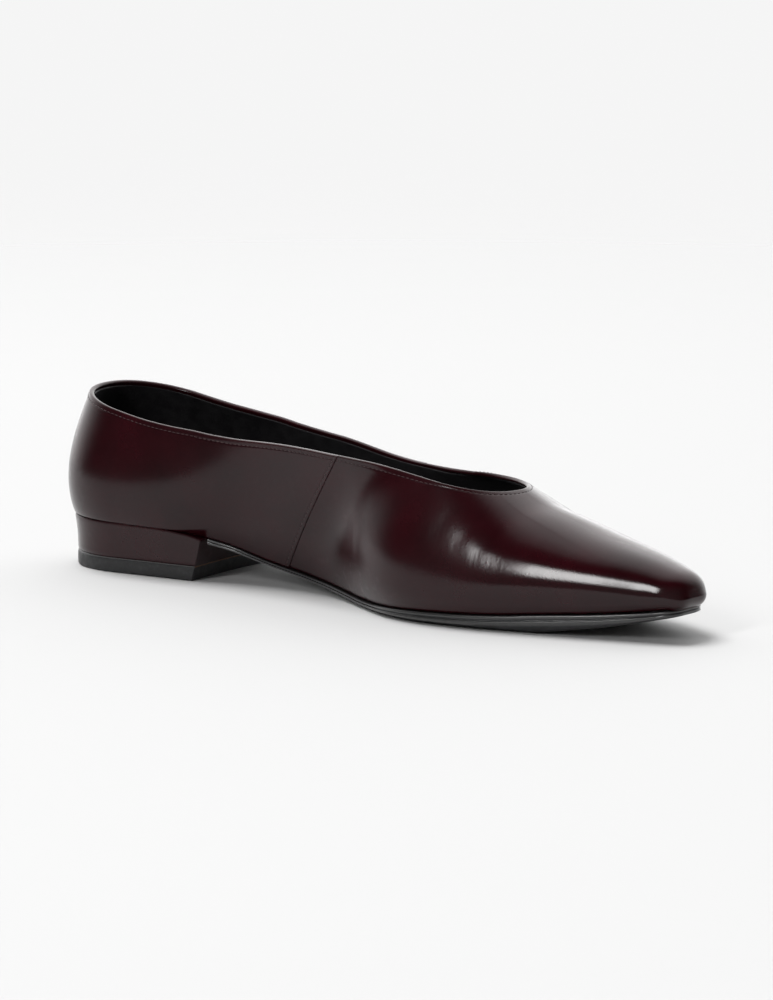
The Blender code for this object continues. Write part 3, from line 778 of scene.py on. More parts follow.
@dataclass(frozen=True)
class GlossLeather:
    """Very dark burgundy calf: a clear coat, sharpest on the toe, over fine grain and stretched lines."""

    name: str = "burgundy_gloss_leather"
    deep: Colour = (0.0120, 0.0012, 0.0022)
    full: Colour = (0.0225, 0.0019, 0.0038)
    blotch_size: float = 0.021
    patch_size: float = 0.0035
    roughness: Pair = (0.26, 0.36)
    specular: float = 0.02
    coat_ior: float = 1.39
    coat_roughness: float = 0.11
    coat_softness: float = 0.10
    polished: Pair = (0.052, 0.078)
    grain: Relief = Relief(0.00045, 0.0000070)
    pores: Relief = Relief(0.00017, 0.0000010)
    waves: Relief = Relief(0.014, 0.000075)
    ripples: Relief = Relief(0.0042, 0.000012)
    wrinkles: Relief = Relief(0.0011, 0.000030)
    wrinkle_stretch: Colour = (1.0, 0.22, 0.22)
    flex: Span = (0.000, 0.030, 0.062, 0.080)

    def material(self) -> bpy.types.Material:
        """Build the nodes."""
        graph = Graph(self.name)
        colour = graph.ramp(graph.noise(self.blotch_size, 4.0), [(0.30, self.deep), (0.72, self.full)])
        waves = graph.noise_bump(self.waves, 1.0)
        ripples = graph.noise_bump(self.ripples, 2.0, waves)
        along = graph.add("ShaderNodeSeparateXYZ", {0: graph.place}).outputs["X"]
        begin, full, fade, end = self.flex
        starts, stops = graph.span(along, begin, full, 0.0, 1.0), graph.span(along, fade, end, 1.0, 0.0)
        lines = graph.drawn_noise(self.wrinkles.size, self.wrinkle_stretch, 3.0)
        flexed = graph.maths("MULTIPLY", lines, graph.maths("MULTIPLY", starts, stops))
        wrinkled = graph.bump(flexed, self.wrinkles.depth, ripples)
        cells = graph.cells(self.grain.size, "SMOOTH_F1")
        grain = graph.maths("ADD", cells, graph.noise(self.grain.size * 1.7, 2.0))
        grained = graph.bump(grain, self.grain.depth, wrinkled)
        pores = graph.noise_bump(self.pores, 2.0, grained)
        dull, bright = self.polished
        coat = graph.span(along, dull, bright, self.coat_roughness + self.coat_softness, self.coat_roughness)
        return graph.finish({
            "Base Color": colour, "Roughness": graph.patches(self.patch_size, 4.0, self.roughness),
            "Normal": pores, "Specular IOR Level": self.specular, "Coat Weight": 1.0,
            "Coat Roughness": coat, "Coat IOR": self.coat_ior, "Coat Normal": grained,
        })


@dataclass(frozen=True)
class LiningLeather:
    """Matte black lining leather with a fine grain and rubbed patches, its colours set darker than black
    leather to paint in the shade inside the shoe.
    """

    name: str = "black_lining_leather"
    # Both colours below are black leather made darker still: painted shade inside the shoe, over real rubbed
    # patches.
    deep: Colour = (0.0024, 0.0018, 0.0026)
    worn_with_painted_shade: Colour = (0.0060, 0.0048, 0.0062)
    blotch_size: float = 0.012
    patch_size: float = 0.004
    roughness: Pair = (0.48, 0.66)
    broad: Relief = Relief(0.006, 0.000080)
    grain: Relief = Relief(0.0006, 0.000030)
    sheen: float = 0.04
    sheen_roughness: float = 0.5

    def material(self) -> bpy.types.Material:
        """Build the nodes."""
        graph = Graph(self.name)
        colour = graph.ramp(graph.noise(self.blotch_size, 5.0), [(0.35, self.deep), (0.75, self.worn_with_painted_shade)])
        grain = graph.cell_bump(self.grain, graph.noise_bump(self.broad, 2.0))
        return graph.finish({
            "Base Color": colour, "Roughness": graph.patches(self.patch_size, 3.0, self.roughness),
            "Normal": grain, "Sheen Weight": self.sheen, "Sheen Roughness": self.sheen_roughness,
        })


@dataclass(frozen=True)
class EdgeInk:
    """Polished black edge of the sole, with light scratches and burnish."""

    name: str = "polished_sole_edge"
    colour: Colour = (0.012, 0.0115, 0.012)
    dusty: Colour = (0.030, 0.029, 0.030)
    dust_size: float = 0.003
    patch_size: float = 0.0016
    roughness: Pair = (0.30, 0.44)
    broad: Relief = Relief(0.0022, 0.000010)
    fine: Relief = Relief(0.00035, 0.000003)
    coat: float = 0.8
    coat_roughness: float = 0.22

    def material(self) -> bpy.types.Material:
        """Build the nodes."""
        graph = Graph(self.name)
        colour = graph.ramp(graph.noise(self.dust_size, 5.0, 0.7), [(0.45, self.colour), (0.85, self.dusty)])
        fine = graph.noise_bump(self.fine, 3.0, graph.noise_bump(self.broad, 2.0))
        return graph.finish({
            "Base Color": colour, "Roughness": graph.patches(self.patch_size, 4.0, self.roughness, 0.35),
            "Normal": fine, "Coat Weight": self.coat, "Coat Roughness": self.coat_roughness,
        })


@dataclass(frozen=True)
class TreadLeather:
    """Matte charcoal tread, faintly brushed, with pale rub marks."""

    name: str = "charcoal_tread"
    deep: Colour = (0.017, 0.0175, 0.019)
    pale: Colour = (0.036, 0.037, 0.040)
    blotch_size: float = 0.010
    patch_size: float = 0.005
    roughness: Pair = (0.55, 0.72)
    grain: Relief = Relief(0.0005, 0.000020)
    brushing: Relief = Relief(1 / 900, 0.000020)
    brush_stretch: Colour = (0.12, 1.0, 1.0)

    def material(self) -> bpy.types.Material:
        """Build the nodes."""
        graph = Graph(self.name)
        streaks = graph.drawn_noise(self.brushing.size, self.brush_stretch, 5.0)
        blotches = graph.noise(self.blotch_size, 5.0, 0.65)
        tone = graph.maths("MULTIPLY", blotches, graph.span(streaks, 0.3, 0.7, 0.8, 1.2))
        colour = graph.ramp(tone, [(0.35, self.deep), (0.75, self.pale)])
        fibres = graph.bump(streaks, self.brushing.depth, graph.cell_bump(self.grain))
        roughness = graph.patches(self.patch_size, 3.0, self.roughness)
        return graph.finish({"Base Color": colour, "Roughness": roughness, "Normal": fibres})


@dataclass(frozen=True)
class HardRubber:
    """Black rubber of the heel's top piece, faintly pitted."""

    name: str = "black_heel_rubber"
    colour: Colour = (0.015, 0.015, 0.016)
    dusty: Colour = (0.040, 0.040, 0.042)
    dust_size: float = 0.002
    patch_size: float = 0.003
    roughness: Pair = (0.42, 0.60)
    pits: Relief = Relief(0.0004, 0.000020)
    fine: Relief = Relief(0.00025, 0.000015)

    def material(self) -> bpy.types.Material:
        """Build the nodes."""
        graph = Graph(self.name)
        colour = graph.ramp(graph.noise(self.dust_size, 6.0, 0.7), [(0.5, self.colour), (0.9, self.dusty)])
        fine = graph.noise_bump(self.fine, 3.0, graph.cell_bump(self.pits))
        roughness = graph.patches(self.patch_size, 3.0, self.roughness)
        return graph.finish({"Base Color": colour, "Roughness": roughness, "Normal": fine})


@dataclass(frozen=True)
class FibreBoard:
    """Light brown raw edge between heel block and top piece."""

    name: str = "brown_heel_board"
    colour: Colour = (0.16, 0.085, 0.045)
    deep: Colour = (0.09, 0.045, 0.022)
    fleck_size: float = 0.0008
    roughness: float = 0.75
    fibres: Relief = Relief(0.0003, 0.000040)

    def material(self) -> bpy.types.Material:
        """Build the nodes."""
        graph = Graph(self.name)
        colour = graph.ramp(graph.noise(self.fleck_size, 4.0), [(0.3, self.deep), (0.7, self.colour)])
        fibres = graph.noise_bump(self.fibres, 4.0)
        return graph.finish({"Base Color": colour, "Roughness": self.roughness, "Normal": fibres})


@dataclass(frozen=True)
class Thread:
    """Fine twisted thread in the leather's own tone."""

    name: str = "burgundy_thread"
    deep: Colour = (0.014, 0.0020, 0.0034)
    full: Colour = (0.032, 0.0048, 0.0080)
    fleck_size: float = 0.0004
    roughness: float = 0.45
    sheen: float = 0.2
    twist: Relief = Relief(1 / 900, 0.000030)

    def material(self) -> bpy.types.Material:
        """Build the nodes."""
        graph = Graph(self.name)
        inputs = {"Vector": graph.place, "Scale": 1.0 / self.twist.size, "Distortion": 1.0}
        twist = graph.add("ShaderNodeTexWave", inputs, bands_direction="DIAGONAL").outputs["Fac"]
        colour = graph.ramp(graph.noise(self.fleck_size, 3.0), [(0.3, self.deep), (0.7, self.full)])
        return graph.finish({
            "Base Color": colour, "Roughness": self.roughness, "Normal": graph.bump(twist, self.twist.depth),
            "Sheen Weight": self.sheen,
        })


@dataclass(frozen=True)
class PaleFloor:
    """Plain pale paper that fades away far from the shoe."""

    name: str = "pale_floor"
    colour: Colour = (0.55, 0.55, 0.55)
    blotch_size: float = 0.15
    blotch: float = 0.995
    roughness: float = 0.85
    specular: float = 0.2
    fibres: Relief = Relief(0.0012, 0.000010)
    solid: float = 0.45
    gone: float = 1.30

    def material(self) -> bpy.types.Material:
        """Build the nodes."""
        graph = Graph(self.name)
        far = graph.add("ShaderNodeVectorMath", {0: graph.place}, operation="LENGTH").outputs["Value"]
        deep = [channel * self.blotch for channel in self.colour]
        tone = graph.ramp(graph.noise(self.blotch_size, 2.0), [(0.0, deep), (1.0, self.colour)])
        return graph.finish({
            "Base Color": tone, "Roughness": self.roughness, "Normal": graph.noise_bump(self.fibres, 3.0),
            "Alpha": graph.span(far, self.solid, self.gone, 1.0, 0.0), "Specular IOR Level": self.specular,
        })


class Trough(NamedTuple):
    """A soft crease across the upper, in metres of the last.

    It runs over points (x, y) in plan; end_power rounds the way its depth runs out at both ends.
    """

    path: tuple[Pair, ...]
    width: float
    depth: float
    end_power: float = 0.7


@dataclass
class Upper:
    """Vamp, quarters and lining: leather shells over the last. Steps are in millimetres."""

    last: Last
    wall: float = 1.80 * MM
    leather: float = 0.90 * MM
    lap: float = 0.40 * MM
    seam_place: float = 1.31
    under_lap: float = 4.0 * MM
    hidden_fade: float = 0.40 * MM
    hidden_sink: float = 0.12 * MM
    hidden_thin: float = 0.20 * MM
    hidden_drop: float = 0.30 * MM
    quarter_rest: float = 0.02 * MM
    quarter_blend: Pair = (4.0 * MM, 7.0 * MM)
    edge_round: float = 0.42 * MM
    crown: float = 0.55 * MM
    fold_depth: float = 1.70 * MM
    fold_inner: float = 1.50 * MM
    stitch_line: float = 1.45 * MM
    groove_depth: float = 0.07 * MM
    groove_width: float = 0.32 * MM
    seam_row: float = 1.50 * MM
    seam_row_ends: Pair = (1.2 * MM, 2.6 * MM)
    seam_row_sink: float = 0.05 * MM
    seam_row_points: int = 60
    topline_margins: Pair = (0.002, 0.004)
    topline_points: tuple[int, int] = (500, 400)
    foot_round: float = 0.40 * MM
    foot_turn: float = 0.7
    foot_drop: float = 0.20 * MM
    toe_push: float = 1.00 * MM
    toe_reach: Pair = (0.20, 0.75)
    toe_fade: Pair = (2.0 * MM, 7.0 * MM)
    lining_drop: float = 1.15 * MM
    lining_gap: float = 0.05 * MM
    lining_lip: tuple[Pair, ...] = ((0.28, 0.17), (0.50, 0.25))
    lining_steps: int = 46
    lining_stride: int = 3
    back_stride: int = 5
    relief_fade: float = 0.5
    line_samples: int = 161
    line_bias: float = 0.85
    body_steps: int = 66
    vamp_lines: int = 430
    quarter_lines: int = 300
    lining_lines: int = 360
    crown_steps: int = 8
    crown_reach: float = 0.8
    tuck_share: float = 0.25
    crowding: float = 0.2
    edge_margin: float = 2.8 * MM
    lap_margin: float = 0.9 * MM
    top_steps: tuple[float, ...] = (3.2, 2.6, 2.15, 1.85, 1.65, 1.45, 1.25, 1.05, 0.8, 0.5, 0.25, 0.0)
    fold_steps: tuple[float, ...] = (0.0, 0.35, 0.75, 1.2, 1.55)
    edge_steps: tuple[float, ...] = (
        0.0, 0.05, 0.12, 0.22, 0.34, 0.5, 0.75, 1.0, 1.17, 1.33, 1.5, 1.67, 1.83, 2.0, 2.3,
    )
    lap_steps: tuple[float, ...] = (-0.4, -0.2, 0.0, 0.15, 0.3, 0.5, 0.8)
    creases: tuple[Trough, ...] = (
        Trough(((0.1765, -0.0358), (0.1800, -0.0320), (0.1835, -0.0262)), 1.9 * MM, 0.060 * MM),
        Trough(((0.1850, -0.0352), (0.1885, -0.0315), (0.1925, -0.0255)), 1.6 * MM, 0.075 * MM),
        Trough(((0.1925, -0.0345), (0.1962, -0.0305), (0.2005, -0.0250)), 1.5 * MM, 0.060 * MM),
        Trough(((0.1385, -0.0290), (0.1440, -0.0262), (0.1500, -0.0235)), 3.2 * MM, 0.110 * MM),
        Trough(((0.1620, 0.0385), (0.1665, 0.0330), (0.1720, 0.0262)), 1.9 * MM, 0.070 * MM),
        Trough(((0.1710, 0.0375), (0.1755, 0.0318), (0.1815, 0.0250)), 1.6 * MM, 0.070 * MM),
        Trough(((0.1800, 0.0352), (0.1840, 0.0300), (0.1895, 0.0240)), 1.5 * MM, 0.055 * MM),
    )

    def __post_init__(self) -> None:
        """Length along the shoe of one unit of the side's coordinate."""
        self.side_length = (self.last.toe_round - self.last.heel_round) * self.last.length

    def arc_levels(self, around: np.ndarray) -> tuple[np.ndarray, np.ndarray, np.ndarray]:
        """Fine levels of every line with their distances from the foot.

        Args:
            around: Coordinates of the lines.

        Returns:
            Fine levels, distance along each line, and each line's whole length.
        """
        fine = np.linspace(0.0, 1.0, self.line_samples) ** self.line_bias
        points = self.last.lines(around, fine)
        steps = np.linalg.norm(np.diff(points, axis=1), axis=2)
        run = np.concatenate([np.zeros((len(around), 1)), np.cumsum(steps, axis=1)], axis=1)
        return fine, run, run[:, -1]

    def levels_at(self, around: np.ndarray, wanted: np.ndarray) -> np.ndarray:
        """Levels at wanted distances from the foot, a row for each line."""
        fine, run, _ = self.arc_levels(around)
        return np.stack([np.interp(want, row, fine) for want, row in zip(wanted, run)])

    def outer_distances(self, around: np.ndarray) -> np.ndarray:
        """Distances from the foot of the outer face's points, close together at its edges."""
        _, _, whole = self.arc_levels(around)
        body = (whole - self.top_steps[0] * MM)[:, None] * crowded(self.body_steps, self.crowding)[:-1]
        top = whole[:, None] - np.array(self.top_steps) * MM
        return np.concatenate([body, top], axis=1)

    def relief(
        self, around: np.ndarray, points: np.ndarray, from_top: np.ndarray, from_foot: np.ndarray
    ) -> np.ndarray:
        """Offset of the outer face: the stitch groove, the rounded foot, the full toe and the creases."""
        offset = -self.groove_depth * np.exp(-(((from_top - self.stitch_line) / self.groove_width) ** 2))
        behind = (self.seam_place - np.abs(around - ROUND)) * self.side_length
        offset -= self.groove_depth * np.exp(-(((behind - self.seam_row) / self.groove_width) ** 2))[:, None]
        turn = np.clip(1.0 - from_foot / self.foot_round, 0.0, 1.0)
        offset -= self.foot_round * self.foot_turn * (1.0 - np.sqrt(1.0 - turn**2))
        at_toe = 1.0 - smoothstep(*self.toe_reach, np.abs(around % ROUND - FRONT))
        offset += self.toe_push * at_toe[:, None] * (1.0 - smoothstep(*self.toe_fade, from_foot))
        for crease in self.creases:
            offset -= crease_depth(crease, points)
        return offset

    def shell(
        self,
        name: str,
        around: np.ndarray,
        outer: np.ndarray,
        middle: np.ndarray,
        inner: np.ndarray,
        drop: np.ndarray,
    ) -> bpy.types.Object:
        """A leather piece with its folded top edge.

        Args:
            name: Piece's name.
            around: Coordinates of its lines, in order.
            outer: Offset of the outer face from the last at each line.
            middle: Offset of the hidden face at each line.
            inner: Offset of the fold's inner face at each line.
            drop: How far each line's top stays below the collar edge.

        Returns:
            The object.
        """
        distances = self.outer_distances(around)
        whole = distances[:, -1]
        distances = distances * (1.0 - drop / whole)[:, None]
        levels = self.levels_at(around, distances)
        points = self.last.lines(around, levels)
        normals = self.last.normals(around, levels)
        fade = np.clip((outer - middle) / (self.relief_fade * self.lap), 0.0, 1.0)[:, None]
        relief = self.relief(around, points, whole[:, None] - distances, distances) * fade
        face = points + normals * (outer[:, None] + relief)[..., None]
        top = (whole - drop)[:, None]
        fold_levels = self.levels_at(around, top - np.array(self.fold_steps) * MM)
        fold_face = self.face_at(around, fold_levels, inner)
        tuck = self.face_at(
            around, self.levels_at(around, top - self.fold_depth), inner + (middle - inner) * self.tuck_share
        )
        upwards = unit(face[:, -1] - face[:, -3])
        centre = (face[:, -1] + fold_face[:, 0]) / 2
        reach = face[:, -1] - centre
        height = np.minimum(self.crown, np.linalg.norm(reach, axis=1) * self.crown_reach)
        crown = []
        for step in range(1, self.crown_steps):
            angle = math.pi * step / self.crown_steps
            crown.append(centre + reach * math.cos(angle) + upwards * (height * math.sin(angle))[:, None])
        back_face = self.face_at(around, levels[:, -1 - self.back_stride :: -self.back_stride], middle)
        foot = self.face_at(around, levels[:, :1], middle)
        face[:, 0, 2] -= self.foot_drop
        profile = np.concatenate([face, np.stack(crown, axis=1), fold_face, tuck, back_face, foot], axis=1)
        profile[:, -1, 2] = face[:, 0, 2]
        return self._solid(name, profile, False)

    def face_at(self, around: np.ndarray, levels: np.ndarray, offset: np.ndarray) -> np.ndarray:
        """Points at levels of the lines, moved outwards by each line's offset."""
        return self.last.lines(around, levels) + self.last.normals(around, levels) * offset[:, None, None]

    def _solid(self, name: str, profile: np.ndarray, is_ring: bool) -> bpy.types.Object:
        """Object from a closed profile on every line."""
        faces = sweep_faces(profile.shape[1], len(profile), is_ring)
        return build_object(name, self.last.to_frame(profile.reshape(-1, 3)), faces)

    def edge_lines(self, start: float, end: float, count: int) -> np.ndarray:
        """Coordinates of lines between two seams, close together at both ends."""
        close = np.array(self.edge_steps) * MM / self.side_length
        margin = self.edge_margin / self.side_length
        inside = self.last.even_around(start + margin, end - margin, count)
        return np.concatenate([start + close, inside, end - close[::-1]])

    def _edge_turn(self, from_edge: np.ndarray) -> np.ndarray:
        """Share of the leather's thickness that its rounded edge has at distances from it."""
        return np.sqrt(1.0 - np.clip(1.0 - from_edge / self.edge_round, 0.0, 1.0) ** 2)

    def quarters(self) -> bpy.types.Object:
        """Both quarters and the counter, lapped over the vamp at the side seams."""
        start, end = ROUND - self.seam_place, ROUND + self.seam_place
        around = self.edge_lines(start, end, self.quarter_lines)
        from_edge = np.minimum(around - start, end - around) * self.side_length
        rest = self.quarter_rest
        turn = self._edge_turn(from_edge)
        outer = rest + (self.lap - rest) * turn
        middle = rest - (self.leather + rest) * smoothstep(*self.quarter_blend, from_edge)
        inner = rest - (self.fold_inner + rest) * turn
        return self.shell("quarters", around, outer, middle, inner, np.zeros(len(around)))

    def vamp(self) -> bpy.types.Object:
        """The vamp, with its edges under the quarters."""
        tuck = self.under_lap / self.side_length
        start, end = self.seam_place - tuck, ROUND - self.seam_place + tuck
        around = self.edge_lines(start, end, self.vamp_lines)
        for seam in (self.seam_place, ROUND - self.seam_place):
            near = seam + np.array(self.lap_steps) * MM / self.side_length
            is_far = np.abs(around - seam) > self.lap_margin / self.side_length
            around = np.concatenate([around[is_far], near])
        around = np.sort(around)
        from_edge = np.minimum(around - start, end - around) * self.side_length
        hidden = 1.0 - smoothstep(self.under_lap - self.hidden_fade, self.under_lap, from_edge)
        turn = self._edge_turn(from_edge)
        core = self.leather / 2
        outer = -core + (core - self.hidden_sink * hidden) * turn
        middle = -core - (self.leather - core) * turn
        inner = -core - (self.fold_inner - core - self.hidden_thin * hidden) * turn
        return self.shell("vamp", around, outer, middle, inner, self.hidden_drop * hidden)

    def lining(self) -> bpy.types.Object:
        """Lining inside vamp and quarters, up to the fold."""
        around = self.last.even_around(0.0, ROUND, self.lining_lines + 1)[:-1]
        _, _, whole = self.arc_levels(around)
        top = (whole - self.lining_drop)[:, None]
        share = np.linspace(0.0, 1.0, self.lining_steps)
        inside = self.levels_at(around, top * share)
        even = np.ones(len(around))
        inner = self.face_at(around, inside, -(self.wall + self.lining_gap) * even)
        outside = self.levels_at(around, top * share[:: -self.lining_stride])
        outer = self.face_at(around, outside, -(self.leather + self.lining_gap) * even)
        upwards = unit(inner[:, -1] - inner[:, -2])
        lip = []
        for across, height in self.lining_lip:
            lip.append(inner[:, -1] * (1.0 - across) + outer[:, 0] * across + upwards * height * MM)
        for ring in (inner[:, 0], outer[:, -1]):
            ring[:, 2] = self.last.lines(around, inside[:, :1])[:, 0, 2]
        return self._solid("lining", np.concatenate([inner, np.stack(lip, axis=1), outer], axis=1), True)

    def _path(
        self, around: np.ndarray, distances: np.ndarray, offset: float
    ) -> tuple[np.ndarray, np.ndarray]:
        """Path of a stitch row on the outer face.

        Args:
            around: Coordinates of the row's lines.
            distances: Distances from the foot, a row for each line.
            offset: Height of the face above the last.

        Returns:
            Points in the frame's coordinates, and outward directions.
        """
        levels = self.levels_at(around, distances)
        normals = self.last.normals(around, levels).reshape(-1, 3)
        points = self.last.lines(around, levels).reshape(-1, 3) + normals * offset
        return self.last.to_frame(points), normals

    def topline_paths(self) -> list[tuple[np.ndarray, np.ndarray]]:
        """Stitch rows below the topline: one on the vamp and one on the quarters."""
        seam = self.seam_place
        spans = ((seam, ROUND - seam, 0.0), (ROUND - seam, ROUND + seam, self.lap))
        paths = []
        for (start, end, offset), margin, count in zip(spans, self.topline_margins, self.topline_points):
            around = self.last.even_around(start + margin, end - margin, count)
            _, _, whole = self.arc_levels(around)
            paths.append(self._path(around, (whole - self.stitch_line)[:, None], offset))
        return paths

    def seam_paths(self) -> list[tuple[np.ndarray, np.ndarray]]:
        """Stitch rows behind the side seams, the medial one first."""
        turn = self.seam_place - self.seam_row / self.side_length
        low, high = self.seam_row_ends
        paths = []
        for place in (ROUND + turn, ROUND - turn):
            around = np.array([place])
            _, _, whole = self.arc_levels(around)
            distances = np.linspace(low, float(whole[0]) - high, self.seam_row_points)[None]
            paths.append(self._path(around, distances, self.lap - self.seam_row_sink))
        return paths


def crease_depth(crease: Trough, points: np.ndarray) -> np.ndarray:
    """Depth of one crease at points of the last, zero away from it."""
    path = np.array(crease.path)
    best = np.full(points.shape[:-1], np.inf)
    along = np.zeros(points.shape[:-1])
    spans = np.linalg.norm(np.diff(path, axis=0), axis=1)
    starts = np.append(0.0, np.cumsum(spans))
    for k, span in enumerate(spans):
        direction = (path[k + 1] - path[k]) / span
        offset = points[..., :2] - path[k]
        t = np.clip(offset @ direction, 0.0, span)
        away = np.linalg.norm(offset - t[..., None] * direction, axis=-1)
        closer = away < best
        best = np.where(closer, away, best)
        along = np.where(closer, (starts[k] + t) / starts[-1], along)
    ends = np.sin(np.clip(along, 0.0, 1.0) * math.pi) ** crease.end_power
    return crease.depth * ends * np.exp(-((best / crease.width) ** 2))


@dataclass
class Slab:
    """A solid between rings that lie one above the other, closed across by grids."""

    name: str

    def build(
        self, medial: np.ndarray, lateral: np.ndarray, bottom: np.ndarray, top: np.ndarray
    ) -> bpy.types.Object:
        """Make the solid.

        Args:
            medial: Points of the medial wall by level and station, lowest level first.
            lateral: The same on the lateral side.
            bottom: Grid of the lowest face by station and step across.
            top: Grid of the highest face.

        Returns:
            The object.
        """
        points = [bottom.reshape(-1, 3), top.reshape(-1, 3)]
        rows, across = bottom.shape[:2]
        faces = []
        for base, flip in ((0, True), (rows * across, False)):
            i, c = np.meshgrid(np.arange(rows - 1), np.arange(across - 1), indexing="ij")
            near, far = i * across + c, (i + 1) * across + c
            quad = np.stack([near, far, far + 1, near + 1], -1).reshape(-1, 4) + base
            faces.append(quad[:, ::-1] if flip else quad)
        start = 2 * rows * across
        rings = [self._border(bottom)]
        for low, high in zip(medial[1:-1], lateral[1:-1]):
            rings.append(self._ring(low, high, across, bottom))
        rings.append(self._border(top))
        size = len(rings[0])
        ring_points = np.stack(rings)
        points.append(ring_points.reshape(-1, 3))
        j, k = np.meshgrid(np.arange(len(rings) - 1), np.arange(size), indexing="ij")
        k_next = (k + 1) % size
        wall = np.stack([j * size + k, j * size + k_next, (j + 1) * size + k_next, (j + 1) * size + k], -1)
        faces.append(wall.reshape(-1, 4) + start)
        return build_object(self.name, np.concatenate(points), np.concatenate(faces))

    @staticmethod
    def _border(grid: np.ndarray) -> np.ndarray:
        """Border of a grid once round, forward on the medial side."""
        return np.concatenate([grid[:, 0], grid[-1, 1:-1], grid[::-1, -1], grid[0, -2:0:-1]])

    @staticmethod
    def _ring(medial: np.ndarray, lateral: np.ndarray, across: int, like: np.ndarray) -> np.ndarray:
        """A ring between two walls with its ends closed across, bent like the first grid's ends."""
        shares = np.linspace(0.0, 1.0, across)[1:-1, None]
        front = medial[-1] + (lateral[-1] - medial[-1]) * shares
        back = medial[0] + (lateral[0] - medial[0]) * shares
        straight = like[0, 0] + (like[0, -1] - like[0, 0]) * shares
        back = back + np.where([True, False, False], like[0, 1:-1] - straight, 0.0)
        return np.concatenate([medial, front, lateral[::-1], back[::-1]])


def grid_between(medial: np.ndarray, lateral: np.ndarray, shares: np.ndarray) -> np.ndarray:
    """Grid of points at shares of the way from one run to the other."""
    return medial[:, None] + (lateral - medial)[:, None] * shares[:, None]


@dataclass
class Outsole:
    """Thin outsole: grooved edge cut in below, rolled medial tread edge, step behind the forepart pad."""

    last: Last
    steps: int = 150
    toe_steps: int = 36
    across: int = 40
    hollow: float = 1.0 * MM
    roll_lift: float = 0.8 * MM
    roll_width: float = 5.0 * MM
    pad_step: float = 0.20 * MM
    pad_x: float = 0.150
    rest_drop: float = 1.4 * MM
    rest_span: Span = (0.160, 0.190, 0.205, 0.256)
    undercut: float = 1.1
    low_share: float = 0.2
    roll_span: Span = (0.115, 0.150, 0.205, 0.245)
    lateral_roll: float = 0.25
    lateral_width: float = 0.6
    pad_bow: float = 0.010
    pad_soft: float = 0.0006
    pad_fade: Pair = (0.075, 0.10)
    crowding: float = 0.12
    breast_rows: int = 10
    rims: tuple[Rim, ...] = (
        Rim(0.000, 0.60), Rim(0.020, 0.34), Rim(0.060, 0.17), Rim(0.120, 0.06), Rim(0.200, 0.01),
        Rim(0.360, 0.00), Rim(0.480, 0.03), Rim(0.530, 0.12), Rim(0.555, 0.32), Rim(0.585, 0.44),
        Rim(0.615, 0.44), Rim(0.645, 0.32), Rim(0.670, 0.12), Rim(0.710, 0.03), Rim(0.780, 0.00),
        Rim(0.850, 0.02), Rim(0.900, 0.07), Rim(0.940, 0.15), Rim(0.970, 0.26), Rim(0.990, 0.42),
        Rim(1.000, 0.62),
    )

    def runs(self) -> list[np.ndarray]:
        """Foot of the upper on both sides, from the breast to the toe."""
        last = self.last
        back, front = last.heel_round * last.length, last.toe_round * last.length
        height = float(last.seat(last.breast_medial * last.length))
        runs = []
        for side in Side:
            start = 1.0 + (last.breast_x(side, height) + last.gap - back) / (front - back)
            places = np.concatenate([
                np.linspace(start, 2.0, self.steps + 1)[:-1], np.linspace(2.0, 3.0, self.toe_steps + 1),
            ])
            runs.append(last.foot(places if side is Side.MEDIAL else ROUND - places))
        return runs

    def roll(self, x: np.ndarray) -> np.ndarray:
        """Share of the medial roll at stations."""
        return hump(self.roll_span, x)

    def rest(self, x: np.ndarray) -> np.ndarray:
        """How far the tread sinks towards the floor under the forepart, where it starts to spring up."""
        return np.minimum(self.rest_drop * hump(self.rest_span, x), self.last.tread(x))

    def build(self) -> bpy.types.Object:
        """Make the solid."""
        last = self.last
        medial_run, lateral_run = self.runs()
        walls: dict[Side, list[np.ndarray]] = {Side.MEDIAL: [], Side.LATERAL: []}
        for rim in self.rims:
            low = max(0.0, 1.0 - rim.height / self.low_share)
            plans = spread_runs(medial_run, lateral_run, last.ledge - (rim.inset + self.undercut * low) * MM)
            for side, plan in zip(Side, plans):
                x = plan[:, 0]
                lift = self.roll(x) * self.roll_lift * (1.0 if side is Side.MEDIAL else self.lateral_roll)
                z = last.tread(x) + lift + (last.edge(x) - lift) * rim.height - self.rest(x) * low
                walls[side].append(np.column_stack([plan, z]))
        medial, lateral = np.stack(walls[Side.MEDIAL]), np.stack(walls[Side.LATERAL])
        shares = crowded(self.across, self.crowding)
        bend = self.hollow * np.sin(math.pi * shares)
        grids = []
        for level in (0, -1):
            grid = grid_between(medial[level], lateral[level], shares)
            fade = np.clip(1.0 - np.arange(len(grid)) / self.breast_rows, 0.0, 1.0)
            grid[..., 0] -= bend[None] * fade[:, None]
            x = grid[..., 0]
            grid[..., 2] = last.tread(x) if level == 0 else last.seat(x)
            if level == 0:
                grid[..., 2] += self._under_relief(grid) - self.rest(x)
            grid[:, 0], grid[:, -1] = medial[level], lateral[level]
            grids.append(last.to_frame(grid))
        slab = Slab("outsole")
        return slab.build(last.to_frame(medial), last.to_frame(lateral), grids[0], grids[1])

    def _under_relief(self, grid: np.ndarray) -> np.ndarray:
        """Lift of the tread: the rolled medial edge and the step behind the forepart pad."""
        x, y = grid[..., 0], grid[..., 1]
        medial_y, lateral_y = grid[:, :1, 1], grid[:, -1:, 1]
        to_medial = np.clip(1.0 - (y - medial_y) / self.roll_width, 0.0, 1.0)
        to_lateral = np.clip(1.0 - (lateral_y - y) / (self.roll_width * self.lateral_width), 0.0, 1.0)
        lift = self.roll(x) * self.roll_lift * (to_medial**2 + self.lateral_roll * to_lateral**2)
        middle = (medial_y + lateral_y) / 2
        half = np.maximum((lateral_y - medial_y) / 2, 1e-6)
        arc = self.pad_x + self.pad_bow * ((y - middle) / half) ** 2
        behind = 1.0 - smoothstep(-self.pad_soft, self.pad_soft, x - arc)
        return lift + self.pad_step * behind * smoothstep(*self.pad_fade, x)


